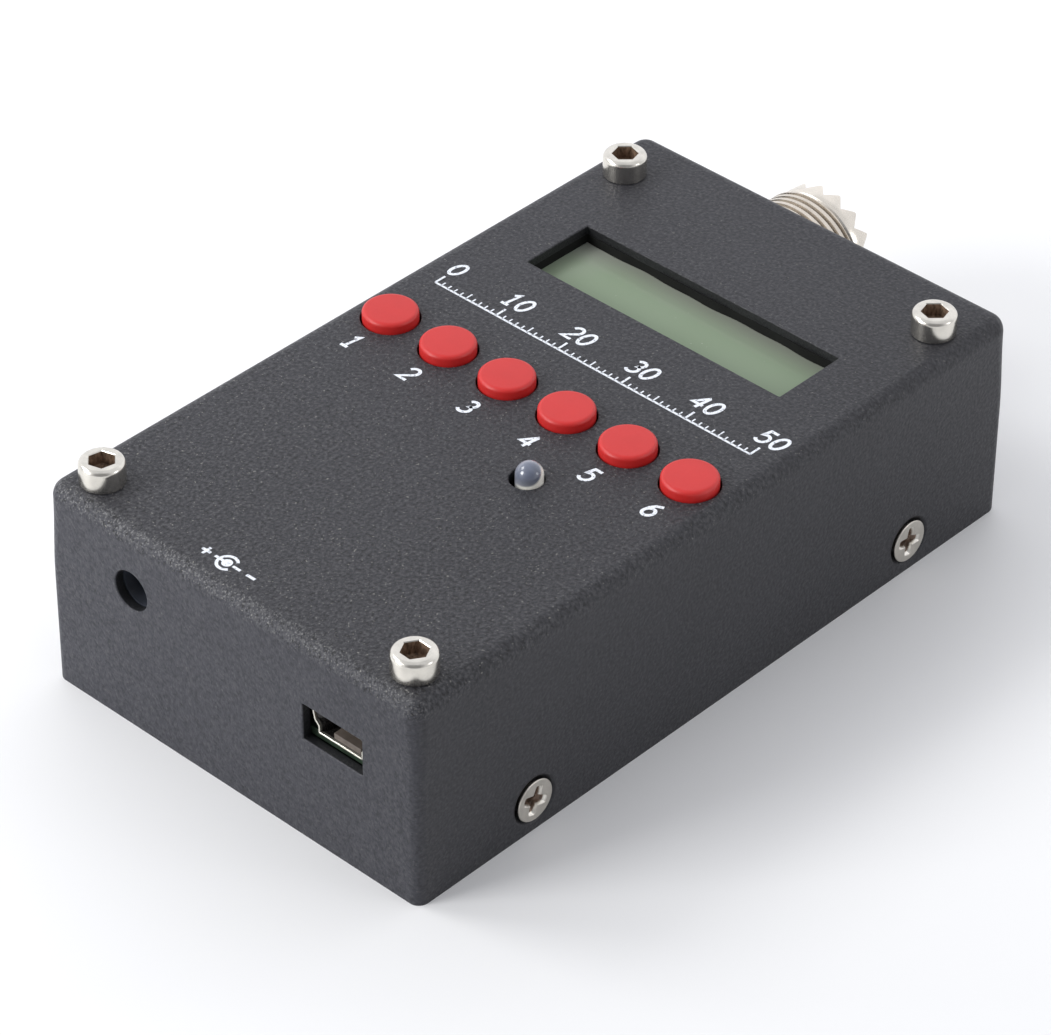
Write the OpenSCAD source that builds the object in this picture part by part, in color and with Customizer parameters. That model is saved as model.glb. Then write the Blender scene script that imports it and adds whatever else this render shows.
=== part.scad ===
// Handheld antenna analyzer in a pressed metal case.
// Millimetres. X runs along the display's lines, Y from the supply end to the antenna socket, Z up.
// The origin is the centre of the case's underside.

/* [Case] */
// Width of the case across the key row
case_w = 59; // [56:0.5:70]
// Length of the case between its two ends
case_l = 101.3; // [95:0.1:120]
// Height of the case
case_h = 28.3; // [27:0.1:32]
// Thickness of the pressed metal
wall = 1.2; // [0.9:0.1:1.5]
// Radius of the case's rounded upper edges
edge_r = 2; // [1.8:0.1:2.6]
// Radius of the case's four upright edges
corner_r = 1.5; // [1.2:0.1:1.8]
// Clearance between the cover and the base tray
tray_gap = 0.1; // [0.05:0.05:0.2]
// Height of the tray's side flanges
flange_h = 9; // [8:0.5:11]
// Distance of the tray's side flanges from either end of the case
flange_inset = 8.65; // [6:0.05:12]
// Inner radius of the tray's bends
bend_r = 0.5; // [0.3:0.1:0.8]

/* [Screws] */
// Radius of the case screws' thread
thread_r = 1.5; // [1.25:0.05:1.6]
// Clearance between a screw and its tapped hole, all round
tap_gap = 0.03; // [0.02:0.01:0.05]
// Clearance between a screw and its through hole, all round
hole_gap = 0.2; // [0.1:0.05:0.3]
// Radius of the socket heads on top
cap_head_r = 2.75; // [2.5:0.05:2.9]
// Height of the socket heads on top
cap_head_h = 3; // [2.5:0.1:3.4]
// Width across flats of the hexagon sockets
hex_af = 2.5; // [2:0.1:2.8]
// Depth of the hexagon sockets
hex_depth = 1.7; // [1.2:0.1:2]
// Length of the top screws under their heads
cap_screw_l = 6; // [5:0.5:8]
// Distance of the top screws from the sides of the case
top_screw_side = 4.85; // [4.8:0.05:6]
// Distance of the front top screws from the front end
top_screw_front = 4.65; // [4.6:0.05:6]
// Distance of the rear top screws from the rear end
top_screw_rear = 9.05; // [8.5:0.05:10]
// Length of the hexagonal posts under the top screws
post_l = 12; // [11.8:0.1:12.2]
// Width across flats of the hexagonal posts
post_af = 5.5; // [5:0.1:5.5]
// Radius of the countersunk heads on the sides
side_head_r = 2.75; // [2.6:0.05:3]
// How far the countersunk heads stand proud of the case
side_head_up = 0.3; // [0.1:0.05:0.4]
// Length of the side screws inside the case wall
side_screw_l = 4; // [3:0.5:5]
// Height of the side screws above the underside
side_screw_z = 4.28; // [4.2:0.05:5]
// Distance of the front side screws from the front end
side_screw_front = 18.5; // [16:0.5:24]
// Distance of the rear side screws from the rear end
side_screw_rear = 17.4; // [16:0.1:24]

/* [Keys] */
// Radius of a key cap
key_r = 3.42; // [3:0.02:3.5]
// Clearance between a key cap and its hole, all round
key_gap = 0.26; // [0.2:0.02:0.4]
// Height of a key cap
key_h = 5.4; // [4.6:0.1:6]
// How far the key caps stand above the case
key_up = 1.3; // [0.8:0.1:1.6]
// Radius of the key caps' rounded top edge
key_edge_r = 0.45; // [0.2:0.05:0.6]
// Distance of the two end keys from the sides of the case
key_side = 5.75; // [5.5:0.05:7]
// Distance of the key row from the rear end
key_from_rear = 51.25; // [50:0.05:53]
// Travel of a key
key_travel = 0.25; // [0.2:0.05:0.3]
// Radius of a key's plunger
plunger_r = 1.75; // [1.5:0.05:1.9]
// Side of a key switch's square case
switch_side = 6; // [5.8:0.1:6.4]
// Height of a key switch's case
switch_h = 3.5; // [3.3:0.1:4]

/* [Display] */
// Distance of the display window from the sides of the case
window_side = 9.45; // [9:0.05:11]
// Length of the display window
window_l = 10.7; // [10:0.1:12]
// Distance of the window's centre from the rear end
window_from_rear = 26.15; // [25:0.05:27]
// Thickness of the foam frame over the display glass
foam_t = 1.2; // [1:0.1:1.6]
// Thickness of the display glass
glass_t = 2.2; // [1.8:0.1:2.6]
// How far the glass reaches past the window, all round
glass_lap = 2.4; // [2:0.1:2.6]
// Thickness of the display's metal frame
frame_t = 0.4; // [0.3:0.1:0.5]
// How far the metal frame's opening clears the window, all round
frame_lap = 1.2; // [1:0.1:1.5]
// Distance of the display board from the sides of the case
lcd_board_side = 3; // [2.5:0.1:3.5]
// Length of the display board
lcd_board_l = 25; // [24:0.5:26]
// Height of the display's pin header
header_h = 2.54; // [2.4:0.02:2.8]
// Number of pins in the display's header
header_pins = 16; // [14:1:16]

/* [Board] */
// Thickness of the main board
board_t = 1; // [0.8:0.1:1.6]
// Clearance between the main board and the case, all round
board_gap = 0.3; // [0.2:0.05:0.6]
// Distance of the main board's rear edge from the rear end
board_from_rear = 6.4; // [6.2:0.1:6.6]

/* [Lamp] */
// Distance of the lamp's hole from the right side
lamp_side = 19.78; // [18:0.02:21]
// Distance of the lamp's hole from the rear end
lamp_from_rear = 63.05; // [62:0.05:65]
// Radius of the lamp's hole
lamp_hole_r = 2.1; // [2.1:0.05:2.4]
// Radius of the lamp's lens
lamp_r = 1.63; // [1.45:0.02:1.65]
// How far the lamp stands to the right of its hole's centre
lamp_lean = 0.34; // [0:0.02:0.36]
// How far the lens's dome centre stands above the case
lamp_up = 0.7; // [0.3:0.05:1]

/* [Sockets] */
// Distance of the supply socket from the left side
supply_side = 13.9; // [13.5:0.1:16]
// Height of the supply socket's axis above the main board
supply_up = 4.85; // [4.7:0.05:5.1]
// Radius of the supply socket's hole in the case
supply_hole_r = 2.6; // [2.4:0.05:2.8]
// Radius of the supply socket's pin
supply_pin_r = 0.8; // [0.6:0.05:1]
// Distance of the USB socket from the right side
usb_side = 13.1; // [13:0.1:15]
// Width of the USB socket's slot
usb_slot_w = 9.2; // [9.1:0.1:9.6]
// Height of the USB socket's slot
usb_slot_h = 5; // [4.9:0.1:5.2]
// Depth of the slot's sill below the main board's upper face
usb_sill = 0.9; // [0.7:0.05:1]

/* [Antenna socket] */
// Distance of the antenna socket from the centre line
socket_x = 10.4; // [10:0.1:10.8]
// Outer radius of the threaded barrel
barrel_r = 7.94; // [7.5:0.02:8.2]
// How far the barrel stands out of the case
barrel_out = 13.5; // [12:0.1:15]
// Radius of the toothed rim
crown_r = 7.65; // [7.2:0.05:7.7]
// Length of the smooth neck between thread and teeth
neck_l = 1.3; // [1:0.1:1.6]
// Number of teeth round the rim
tooth_count = 16; // [12:1:18]
// Depth of the teeth
tooth_depth = 1.5; // [1.2:0.1:1.8]
// Radius of the barrel's bore
barrel_bore_r = 5.6; // [5.3:0.05:5.8]
// Radius of the bore in the centre contact
contact_bore_r = 2; // [1.9:0.05:2.1]
// Depth of the bore in the centre contact
contact_bore_l = 9; // [7:0.5:10]
// Clearance between the square flange and the inside of the case, above and below
plate_gap = 0.95; // [0.3:0.05:1.2]
// Thickness of the square flange
plate_t = 1.6; // [1.4:0.1:2]
// Distance between neighbouring flange screws
plate_pitch = 17.2; // [16.5:0.1:17.4]

/* [Power switch] */
// Distance between the socket's flange and the power switch
power_gap = 0.9; // [0.5:0.1:1.2]
// Travel of the power switch's lever
power_travel = 4; // [3:0.5:4]
// Width of the lever
lever_w = 3.6; // [3:0.1:4]
// Height of the lever
lever_h = 2.6; // [2.2:0.1:3]
// How far the lever stands out of the case
lever_out = 2.6; // [1.5:0.1:3]
// Clearance round the lever
lever_gap = 0.3; // [0.25:0.05:0.4]
// Distance between the power switch's screws
power_pitch = 18; // [17.5:0.5:18]

/* [Battery] */
// Distance of the battery pack from the sides of the case
pack_side = 6.5; // [5:0.5:10]
// Distance of the battery pack's front end from the front end of the case
pack_front = 11.65; // [9:0.05:14]
// Distance of the battery pack's rear end from the rear end of the case
pack_rear = 31.65; // [30:0.05:40]
// Room above the battery pack, below the main board
pack_room = 3.3; // [3:0.1:5]
// Thickness of the foam pad under the pack
pad_t = 1; // [0.6:0.1:1.5]

/* [Hidden] */
$fn = 64;

front_y = -case_l / 2;
rear_y = case_l / 2;
ceiling_z = case_h - wall;
inner_w = case_w - 2 * wall;
inner_r = edge_r - wall;
board_z = ceiling_z - post_l;
flange_l = case_l - 2 * flange_inset;
top_screw_x = case_w / 2 - top_screw_side;
side_screw_turns = [35, -12, -22, 18];
top_screw_turns = [17, -16, -3, -16];
eps = 0.01;
cut = 1;
seat_gap = 0.05;
rest_gap = 0.3;

// colours as the photograph shows them
coat = [0.25, 0.25, 0.27];
nickel = [0.78, 0.76, 0.72];
steel = [0.7, 0.7, 0.7];
red = [0.83, 0.16, 0.14];
board_green = [0.16, 0.3, 0.2];
black = [0.08, 0.08, 0.09];
gold = [0.8, 0.65, 0.3];

key_y = rear_y - key_from_rear;
key_count = 6;
key_pitch = (case_w - 2 * key_side) / (key_count - 1);
key_top_z = case_h + key_up;
key_roof_t = 1.2;
switch_floor_t = 0.8;
plunger_collar_t = 0.8;
plunger_collar_r = plunger_r + 0.4;
plunger_gap = 0.08;
plate_thin = 0.3;
dome_t = 0.15;
dome_rise = 0.25;

window_w = case_w - 2 * window_side;
window_y = rear_y - window_from_rear;
glass_z = ceiling_z - foam_t;
foam_step = 0.3;
frame_z = glass_z + foam_step;
frame_w = window_w + 2 * glass_lap + 2 * seat_gap + 2 * frame_t;
frame_l = window_l + 2 * glass_lap + 2 * seat_gap + 2 * frame_t;
lcd_board_w = case_w - 2 * lcd_board_side;
lcd_board_z = board_z + header_h;
lcd_board_t = 1.6;
light_z = lcd_board_z + lcd_board_t;
header_pitch = 2.54;
pin_side = 0.64;
header_y = window_y + lcd_board_l / 2 - header_pitch / 2;
spacer_r = 2;
small_thread_r = 1;
small_head_r = 1.9;
small_head_h = 1.2;
small_screw_past = 0.6;
spacer_x = lcd_board_w / 2 - spacer_r - 0.5;
spacer_y = window_y - lcd_board_l / 2 + spacer_r + 0.5;

lamp_x = case_w / 2 - lamp_side;
lamp_y = rear_y - lamp_from_rear;
lens_x = lamp_x + lamp_lean;
lens_y = lamp_y - lamp_lean / 2;
lens_l = 3.7;
chip_y = lamp_y - 13.9;
lamp_rim_r = lamp_r + 0.35;
lamp_rim_t = 1;
lamp_rim_z = case_h + lamp_up - lens_l;
leg_side = 0.5;
leg_pitch = 1.27;

supply_x = case_w / 2 - supply_side;
supply_z = board_z + supply_up;
usb_x = case_w / 2 - usb_side;

socket_z = case_h / 2;
plate_w = case_h - 2 * wall - 2 * plate_gap;
plate_y = rear_y - wall - plate_t;
relief_r = 7.4;
relief_l = 2;
tooth_turn = 3.65;
barrel_end_y = rear_y + barrel_out;
insulator_back = 3.4;
contact_wall = 0.5;
contact_tail_l = 3.5;
contact_tail_r = 1.3;
mouth_depth = 2.2;
tail_y = plate_y - insulator_back - contact_tail_l;
pan_head_r = 2.6;
pan_head_h = 1.5;
screw_past = 1.6;

ear_w = power_pitch + 4;
power_x = -socket_x + plate_w / 2 + power_gap + ear_w / 2;
power_depth = 4.4;
power_h = 6;
power_w = 13;
power_plate_t = 0.5;
power_y = rear_y - wall - power_plate_t;
slider_w = 6.4;
slider_t = 1.8;
terminal_l = 2.6;
terminal_pitch = 3.5;
terminal_t = 0.5;
terminal_w = 1.6;
terminal_y = power_y - power_depth - terminal_l;

wire_r = 0.5;
wire_bend = 1;
wire_top_z = board_z + 3.4;
wire_land_y = header_y + header_pitch / 2 + wire_r + 0.9;

pack_w = case_w - 2 * pack_side;
pack_l = case_l - pack_front - pack_rear;
pack_y = front_y + pack_front + pack_l / 2;
pack_z = wall + pad_t;
pack_t = board_z - board_t - pack_room - pack_z;
lead_y = pack_y + pack_l / 2;
plug_w = 6;
plug_d = 4.6;
plug_h = 3.4;
plug_x = case_w / 2 - 14.5;
plug_y = lead_y + 6;
plug_top_h = 1.4;
plug_top_lap = 0.7;
pad_inset = 3;

// A rectangle with four round corners
module round_rect(w, l, r) {
    square([w - 2 * r, l], center = true);
    square([w, l - 2 * r], center = true);
    for (x = [-1, 1], y = [-1, 1])
        translate([x * (w / 2 - r), y * (l / 2 - r)]) circle(r = r);
}

// The section of a box with two round upper corners
module arch(w, h, r, below) {
    translate([-w / 2, -below]) square([w, h - r + below]);
    translate([-w / 2 + r, -below]) square([w - 2 * r, h + below]);
    for (x = [-1, 1]) translate([x * (w / 2 - r), h - r]) circle(r = r);
}

// A box open to below, its upper edges rounded to one radius and its upright edges to another
module rounded_box(w, l, h, r, upright_r, below = 0) {
    intersection() {
        translate([0, 0, -below]) linear_extrude(h + below) round_rect(w, l, upright_r);
        translate([0, l / 2, 0]) rotate([90, 0, 0]) linear_extrude(l) arch(w, h, r, below);
        translate([-w / 2, 0, 0]) rotate([90, 0, 90]) linear_extrude(w) arch(l, h, r, below);
    }
}

// Places its children at the four top screws
module at_top_screws() {
    for (x = [-1, 1], y = [front_y + top_screw_front, rear_y - top_screw_rear])
        translate([x * top_screw_x, y, 0]) children();
}

// Places its children at the four side screws, with +Z pointing out of the case
module at_side_screws() {
    for (x = [-1, 1], y = [front_y + side_screw_front, rear_y - side_screw_rear])
        translate([x * case_w / 2, y, side_screw_z]) rotate([0, x * 90, 0]) children();
}

// Places its children at the flange's screws, with +Z pointing out of the rear end
module at_plate_screws() {
    for (x = [-1, 1], z = [-1, 1])
        translate([-socket_x + x * plate_pitch / 2, rear_y, socket_z + z * plate_pitch / 2])
            rotate([-90, 0, 0]) children();
}

// Places its children at the power switch's screws, with +Z pointing out of the rear end
module at_power_screws() {
    for (x = [-1, 1])
        translate([power_x + x * power_pitch / 2, rear_y, socket_z]) rotate([-90, 0, 0]) children();
}

// Places its children at one key, or at all of them
function key_x(i) = (i - (key_count + 1) / 2) * key_pitch;
module at_keys() {
    for (i = [1:key_count]) translate([key_x(i), key_y, 0]) children();
}

module cover() {
    color(coat) difference() {
        rounded_box(case_w, case_l, case_h, edge_r, corner_r);
        rounded_box(inner_w, case_l - 2 * wall, ceiling_z, inner_r, inner_r, below = cut);
        translate([0, window_y, case_h]) cube([window_w, window_l, 4 * wall], center = true);
        translate([0, 0, ceiling_z - cut]) {
            at_keys() cylinder(r = key_r + key_gap, h = wall + 2 * cut);
            at_top_screws() cylinder(r = thread_r + hole_gap, h = wall + 2 * cut);
            translate([lamp_x, lamp_y, 0]) cylinder(r = lamp_hole_r, h = wall + 2 * cut);
        }
        translate([-supply_x, front_y - cut, supply_z])
            rotate([-90, 0, 0]) cylinder(r = supply_hole_r, h = wall + 2 * cut);
        translate([usb_x - usb_slot_w / 2, front_y - cut, board_z - usb_sill])
            cube([usb_slot_w, wall + 2 * cut, usb_slot_h]);
        at_side_screws() translate([0, 0, -wall]) {
            cylinder(r1 = side_head_r + rest_gap - wall, r2 = side_head_r + rest_gap, h = wall);
            translate([0, 0, -cut])
                cylinder(r = side_head_r + rest_gap - wall, h = cut + eps);
            translate([0, 0, wall - eps]) cylinder(r = side_head_r + rest_gap, h = cut);
        }
        translate([-socket_x, rear_y - wall - cut, socket_z])
            rotate([-90, 0, 0]) cylinder(r = barrel_r + hole_gap, h = wall + 2 * cut);
        at_plate_screws() translate([0, 0, -wall - cut])
            cylinder(r = thread_r + hole_gap, h = wall + 2 * cut);
        at_power_screws() translate([0, 0, -wall - cut])
            cylinder(r = small_thread_r + hole_gap, h = wall + 2 * cut);
        lever_slot(rear_y - wall - cut, wall + 2 * cut);
    }
}

// The tray's folded section: floor, two bends and two side flanges
module tray_section() {
    half = inner_w / 2 - tray_gap;
    outer = bend_r + wall;
    difference() {
        union() {
            translate([-half + outer, 0]) square([2 * half - 2 * outer, flange_h]);
            for (x = [-1, 1]) {
                translate([x * (half - outer), outer]) circle(r = outer);
                translate([x * (half - outer / 2), outer + (flange_h - outer) / 2])
                    square([outer, flange_h - outer], center = true);
            }
        }
        translate([-half + outer, wall]) square([2 * half - 2 * outer, flange_h]);
        translate([-half + wall, outer]) square([2 * half - 2 * wall, flange_h]);
        for (x = [-1, 1]) translate([x * (half - outer), outer]) circle(r = bend_r);
    }
}

module base_tray() {
    color(coat) difference() {
        union() {
            translate([0, flange_l / 2, 0]) rotate([90, 0, 0]) linear_extrude(flange_l) tray_section();
            linear_extrude(wall)
                square([inner_w - 2 * tray_gap - 2 * (bend_r + wall),
                        case_l - 2 * wall - 2 * tray_gap], center = true);
        }
        at_side_screws() translate([0, 0, -2 * wall - tray_gap - cut])
            cylinder(r = thread_r + tap_gap, h = wall + 2 * cut);
    }
}

// A socket head cap screw standing on its seat at z = 0
module cap_screw() {
    edge = 0.45;
    mouth = 0.22;
    difference() {
        union() {
            rotate_extrude() difference() {
                union() {
                    square([cap_head_r, cap_head_h - edge]);
                    square([cap_head_r - edge, cap_head_h]);
                    translate([cap_head_r - edge, cap_head_h - edge]) circle(r = edge);
                }
                translate([-cut, -cut]) square([cut, cap_head_h + 2 * cut]);
            }
            translate([0, 0, -cap_screw_l]) cylinder(r = thread_r, h = cap_screw_l + eps);
        }
        translate([0, 0, cap_head_h - hex_depth])
            cylinder(r = hex_af / sqrt(3), h = hex_depth + cut, $fn = 6);
        translate([0, 0, cap_head_h - mouth])
            cylinder(r = hex_af / sqrt(3) + mouth, h = mouth + cut, $fn = 6);
    }
}

module top_screws() {
    color(nickel)
        for (x = [0, 1], y = [0, 1])
            translate([(2 * x - 1) * top_screw_x,
                       y == 0 ? front_y + top_screw_front : rear_y - top_screw_rear, case_h])
                rotate([0, 0, top_screw_turns[2 * x + y]]) cap_screw();
}

// A countersunk screw with a cross recess; the case's face is at z = 0
module side_screw() {
    seat = wall + tray_gap;
    recess_w = 0.85;
    recess_l = 3.5;
    recess_deep = 1.3;
    difference() {
        union() {
            cylinder(r = side_head_r, h = side_head_up);
            translate([0, 0, -seat]) cylinder(r1 = thread_r, r2 = side_head_r, h = seat);
            translate([0, 0, -seat - side_screw_l]) cylinder(r = thread_r, h = side_screw_l);
        }
        for (a = [0, 90]) rotate([0, 0, a])
            translate([0, 0, side_head_up])
                cube([recess_l, recess_w, 2 * recess_deep], center = true);
    }
}

module side_screws() {
    color(nickel)
        for (x = [0, 1], y = [0, 1])
            translate([(2 * x - 1) * case_w / 2,
                       y == 0 ? front_y + side_screw_front : rear_y - side_screw_rear, side_screw_z])
                rotate([0, (2 * x - 1) * 90, 0])
                    rotate([0, 0, side_screw_turns[2 * x + y]]) side_screw();
}

module posts() {
    color(steel) at_top_screws() translate([0, 0, board_z]) difference() {
        cylinder(r = post_af / sqrt(3), h = post_l, $fn = 6);
        translate([0, 0, -cut]) cylinder(r = thread_r + tap_gap, h = post_l + 2 * cut);
    }
}

// A pan head screw with a cross recess; its head stands on z = 0 and its thread points down
module pan_screw(head_r, head_h, r, l) {
    difference() {
        union() {
            rotate_extrude() polygon([
                [0, 0], [head_r, 0], [head_r, head_h / 2], [head_r * 0.8, head_h], [0, head_h]]);
            translate([0, 0, -l]) cylinder(r = r, h = l + eps);
        }
        for (a = [0, 90]) rotate([0, 0, a])
            translate([0, 0, head_h]) cube([head_r * 1.2, head_r * 0.3, head_h], center = true);
    }
}

board_screw_up = 4;
module board_screws() {
    color(steel) at_top_screws() translate([0, 0, board_z - board_t])
        rotate([180, 0, 0]) pan_screw(pan_head_r, pan_head_h, thread_r, board_t + board_screw_up);
}

module main_board() {
    board_front = front_y + wall + board_gap;
    board_rear = rear_y - board_from_rear;
    notch_gap = 1;
    color(board_green) translate([0, 0, board_z - board_t]) difference() {
        translate([-inner_w / 2 + board_gap, board_front, 0])
            cube([inner_w - 2 * board_gap, board_rear - board_front, board_t]);
        // room for the antenna socket's insulator and solder tail
        translate([-socket_x - barrel_bore_r - notch_gap, tail_y - notch_gap, -cut])
            cube([2 * (barrel_bore_r + notch_gap), case_l, board_t + 2 * cut]);
        // room for the power switch's terminals
        translate([power_x - terminal_pitch - terminal_w / 2 - notch_gap, terminal_y - notch_gap, -cut])
            cube([2 * terminal_pitch + terminal_w + 2 * notch_gap, case_l, board_t + 2 * cut]);
        translate([0, 0, -cut]) {
            at_top_screws() cylinder(r = thread_r + hole_gap, h = board_t + 2 * cut);
            for (x = [-1, 1]) translate([x * spacer_x, spacer_y, 0])
                cylinder(r = small_thread_r + tap_gap, h = board_t + 2 * cut);
            for (i = [1:header_pins])
                translate([(i - (header_pins + 1) / 2) * header_pitch, header_y, board_t])
                    cube([pin_side + 2 * tap_gap, pin_side + 2 * tap_gap, 4 * board_t], center = true);
        }
    }
}

// A round key cap: domed edge, hollow skirt and the boss that takes the plunger
module key_cap(i) {
    skirt = 0.8;
    boss_r = plunger_r + 0.7;
    color(red) translate([key_x(i), key_y, key_top_z - key_h]) rotate_extrude() difference() {
        union() {
            square([key_r, key_h - key_edge_r]);
            square([key_r - key_edge_r, key_h]);
            translate([key_r - key_edge_r, key_h - key_edge_r]) circle(r = key_edge_r);
        }
        translate([boss_r, -cut]) square([key_r - skirt - boss_r, key_h - key_roof_t + cut]);
        translate([-2 * key_r, -cut])
            square([2 * key_r + plunger_r + tap_gap, key_h - key_roof_t + cut]);
        translate([-2 * key_r, -cut]) square([2 * key_r, key_h + 2 * cut]);
    }
}

// A key's plunger: a round stem with the collar that holds it in its switch
module plunger(i) {
    foot_z = board_z + switch_floor_t + dome_t + dome_rise + key_travel + seat_gap;
    color(black) translate([key_x(i), key_y, 0]) {
        translate([0, 0, foot_z]) cylinder(r = plunger_r, h = key_top_z - key_roof_t - foot_z);
        translate([0, 0, foot_z]) cylinder(r = plunger_collar_r, h = plunger_collar_t);
    }
}

module switch_cases() {
    color(black) at_keys() translate([0, 0, board_z]) difference() {
        translate([-switch_side / 2, -switch_side / 2, 0])
            cube([switch_side, switch_side, switch_h - plate_thin]);
        translate([0, 0, switch_floor_t])
            cylinder(r = plunger_collar_r + plunger_gap, h = switch_h);
    }
}

module switch_plates() {
    color(steel) at_keys() translate([0, 0, board_z + switch_h - plate_thin]) difference() {
        translate([-switch_side / 2, -switch_side / 2, 0])
            cube([switch_side, switch_side, plate_thin]);
        translate([0, 0, -cut]) cylinder(r = plunger_r + plunger_gap, h = plate_thin + 2 * cut);
    }
}

// A snap dome: a thin dish with a raised middle
module switch_domes() {
    color(steel) at_keys() translate([0, 0, board_z + switch_floor_t]) rotate_extrude() polygon([
        [0, dome_rise], [plunger_r / 2, dome_rise], [plunger_r, 0], [plunger_collar_r - seat_gap, 0],
        [plunger_collar_r - seat_gap, dome_t], [plunger_r + dome_t / 2, dome_t],
        [plunger_r / 2 + dome_t / 2, dome_rise + dome_t], [0, dome_rise + dome_t]]);
}

module display_glass() {
    color([0.56, 0.62, 0.53]) translate([0, window_y, glass_z - glass_t / 2])
        cube([window_w + 2 * glass_lap, window_l + 2 * glass_lap, glass_t], center = true);
}

module display_foam() {
    color(black) translate([0, window_y, 0]) difference() {
        union() {
            translate([0, 0, frame_z + (ceiling_z - frame_z) / 2])
                cube([frame_w, frame_l, ceiling_z - frame_z], center = true);
            translate([0, 0, glass_z + (foam_step + eps) / 2])
                cube([window_w + 2 * frame_lap - 2 * seat_gap,
                      window_l + 2 * frame_lap - 2 * seat_gap, foam_step + eps], center = true);
        }
        translate([0, 0, glass_z]) cube([window_w, window_l, 4 * foam_t], center = true);
    }
}

// The bent steel frame that clamps glass and backlight to the display board
module display_frame() {
    depth = frame_z - light_z;
    tab_w = 3;
    color(black) translate([0, window_y, 0]) {
        difference() {
            translate([0, 0, light_z + depth / 2]) cube([frame_w, frame_l, depth], center = true);
            translate([0, 0, light_z - cut + (depth - foam_step + cut) / 2])
                cube([frame_w - 2 * frame_t, frame_l - 2 * frame_t, depth - foam_step + cut],
                     center = true);
            translate([0, 0, frame_z])
                cube([window_w + 2 * frame_lap, window_l + 2 * frame_lap, 4 * foam_step],
                     center = true);
        }
        for (x = [-1, 1], y = [-1, 1])
            translate([x * frame_w / 4, y * (frame_l / 2 - frame_t / 2),
                       light_z - lcd_board_t / 2])
                cube([tab_w, frame_t, lcd_board_t + 2 * eps], center = true);
    }
}

module display_backlight() {
    color([0.85, 0.88, 0.8]) translate([0, window_y, (light_z + glass_z - glass_t) / 2])
        cube([window_w + 2 * glass_lap, window_l + 2 * glass_lap, glass_z - glass_t - light_z],
             center = true);
}

module display_board() {
    tab_w = 3;
    color(board_green) difference() {
        translate([0, window_y, lcd_board_z + lcd_board_t / 2])
            cube([lcd_board_w, lcd_board_l, lcd_board_t], center = true);
        for (x = [-1, 1], y = [-1, 1])
            translate([x * frame_w / 4, window_y + y * (frame_l / 2 - frame_t / 2), lcd_board_z])
                cube([tab_w + 2 * seat_gap, frame_t + 2 * seat_gap, 4 * lcd_board_t], center = true);
        for (x = [-1, 1]) translate([x * spacer_x, spacer_y, lcd_board_z - cut])
            cylinder(r = small_thread_r + hole_gap, h = lcd_board_t + 2 * cut);
        for (i = [1:header_pins])
            translate([(i - (header_pins + 1) / 2) * header_pitch, header_y, lcd_board_z])
                cube([pin_side + 2 * tap_gap, pin_side + 2 * tap_gap, 4 * lcd_board_t],
                     center = true);
    }
}

module display_header() {
    strip_w = header_pins * header_pitch;
    color(black) difference() {
        translate([0, header_y, board_z + header_h / 2])
            cube([strip_w, header_pitch, header_h], center = true);
        for (i = [1:header_pins])
            translate([(i - (header_pins + 1) / 2) * header_pitch, header_y, board_z])
                cube([pin_side + 2 * tap_gap, pin_side + 2 * tap_gap, 4 * header_h], center = true);
    }
}

module display_pins() {
    stub = 0.8;
    low = board_z - board_t - stub;
    high = lcd_board_z + lcd_board_t + stub;
    color(gold) for (i = [1:header_pins])
        translate([(i - (header_pins + 1) / 2) * header_pitch, header_y, (low + high) / 2])
            cube([pin_side, pin_side, high - low], center = true);
}

module display_spacers() {
    color([0.9, 0.9, 0.86]) for (x = [-1, 1]) translate([x * spacer_x, spacer_y, board_z])
        difference() {
            cylinder(r = spacer_r, h = header_h);
            translate([0, 0, -cut]) cylinder(r = small_thread_r + hole_gap, h = header_h + 2 * cut);
        }
}

module display_screws() {
    color(steel) for (x = [-1, 1]) translate([x * spacer_x, spacer_y, lcd_board_z + lcd_board_t])
        pan_screw(small_head_r, small_head_h, small_thread_r,
                  lcd_board_t + header_h + board_t + small_screw_past);
}

// The lamp's clear lens: rim, round body and domed tip
module lamp_lens() {
    color([0.8, 0.85, 0.95, 0.7]) translate([lens_x, lens_y, lamp_rim_z]) {
        cylinder(r = lamp_rim_r, h = lamp_rim_t);
        cylinder(r = lamp_r, h = lens_l);
        translate([0, 0, lens_l]) sphere(r = lamp_r);
    }
}

module lamp_legs() {
    color(steel) for (i = [-1, 0, 1])
        translate([lens_x + i * leg_pitch - leg_side / 2, lens_y - leg_side / 2, board_z])
            cube([leg_side, leg_side, lamp_rim_z - board_z]);
}

// The USB receptacle's outline, wide above and narrow at the board, drawn in by t all round
usb_low_w = 6.6;
usb_high_w = 7.7;
usb_knee_z = 1;
usb_shoulder_z = 1.9;
usb_top_z = 3.9;
module usb_outline(t, low_w = usb_low_w, high_w = usb_high_w) {
    low = low_w / 2 - t;
    high = high_w / 2 - t;
    knee = usb_knee_z + t / 3;
    shoulder = usb_shoulder_z + t / 3;
    polygon([[-low, t], [low, t], [low, knee], [high, shoulder], [high, usb_top_z - t],
             [-high, usb_top_z - t], [-high, shoulder], [-low, knee]]);
}
usb_front_y = front_y + wall + 0.1;
usb_shell_t = 0.3;
usb_shell_l = 8.8;
usb_lip_l = 0.8;
usb_lip_low_w = 6.9;
usb_lip_high_w = 8.8;

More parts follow.
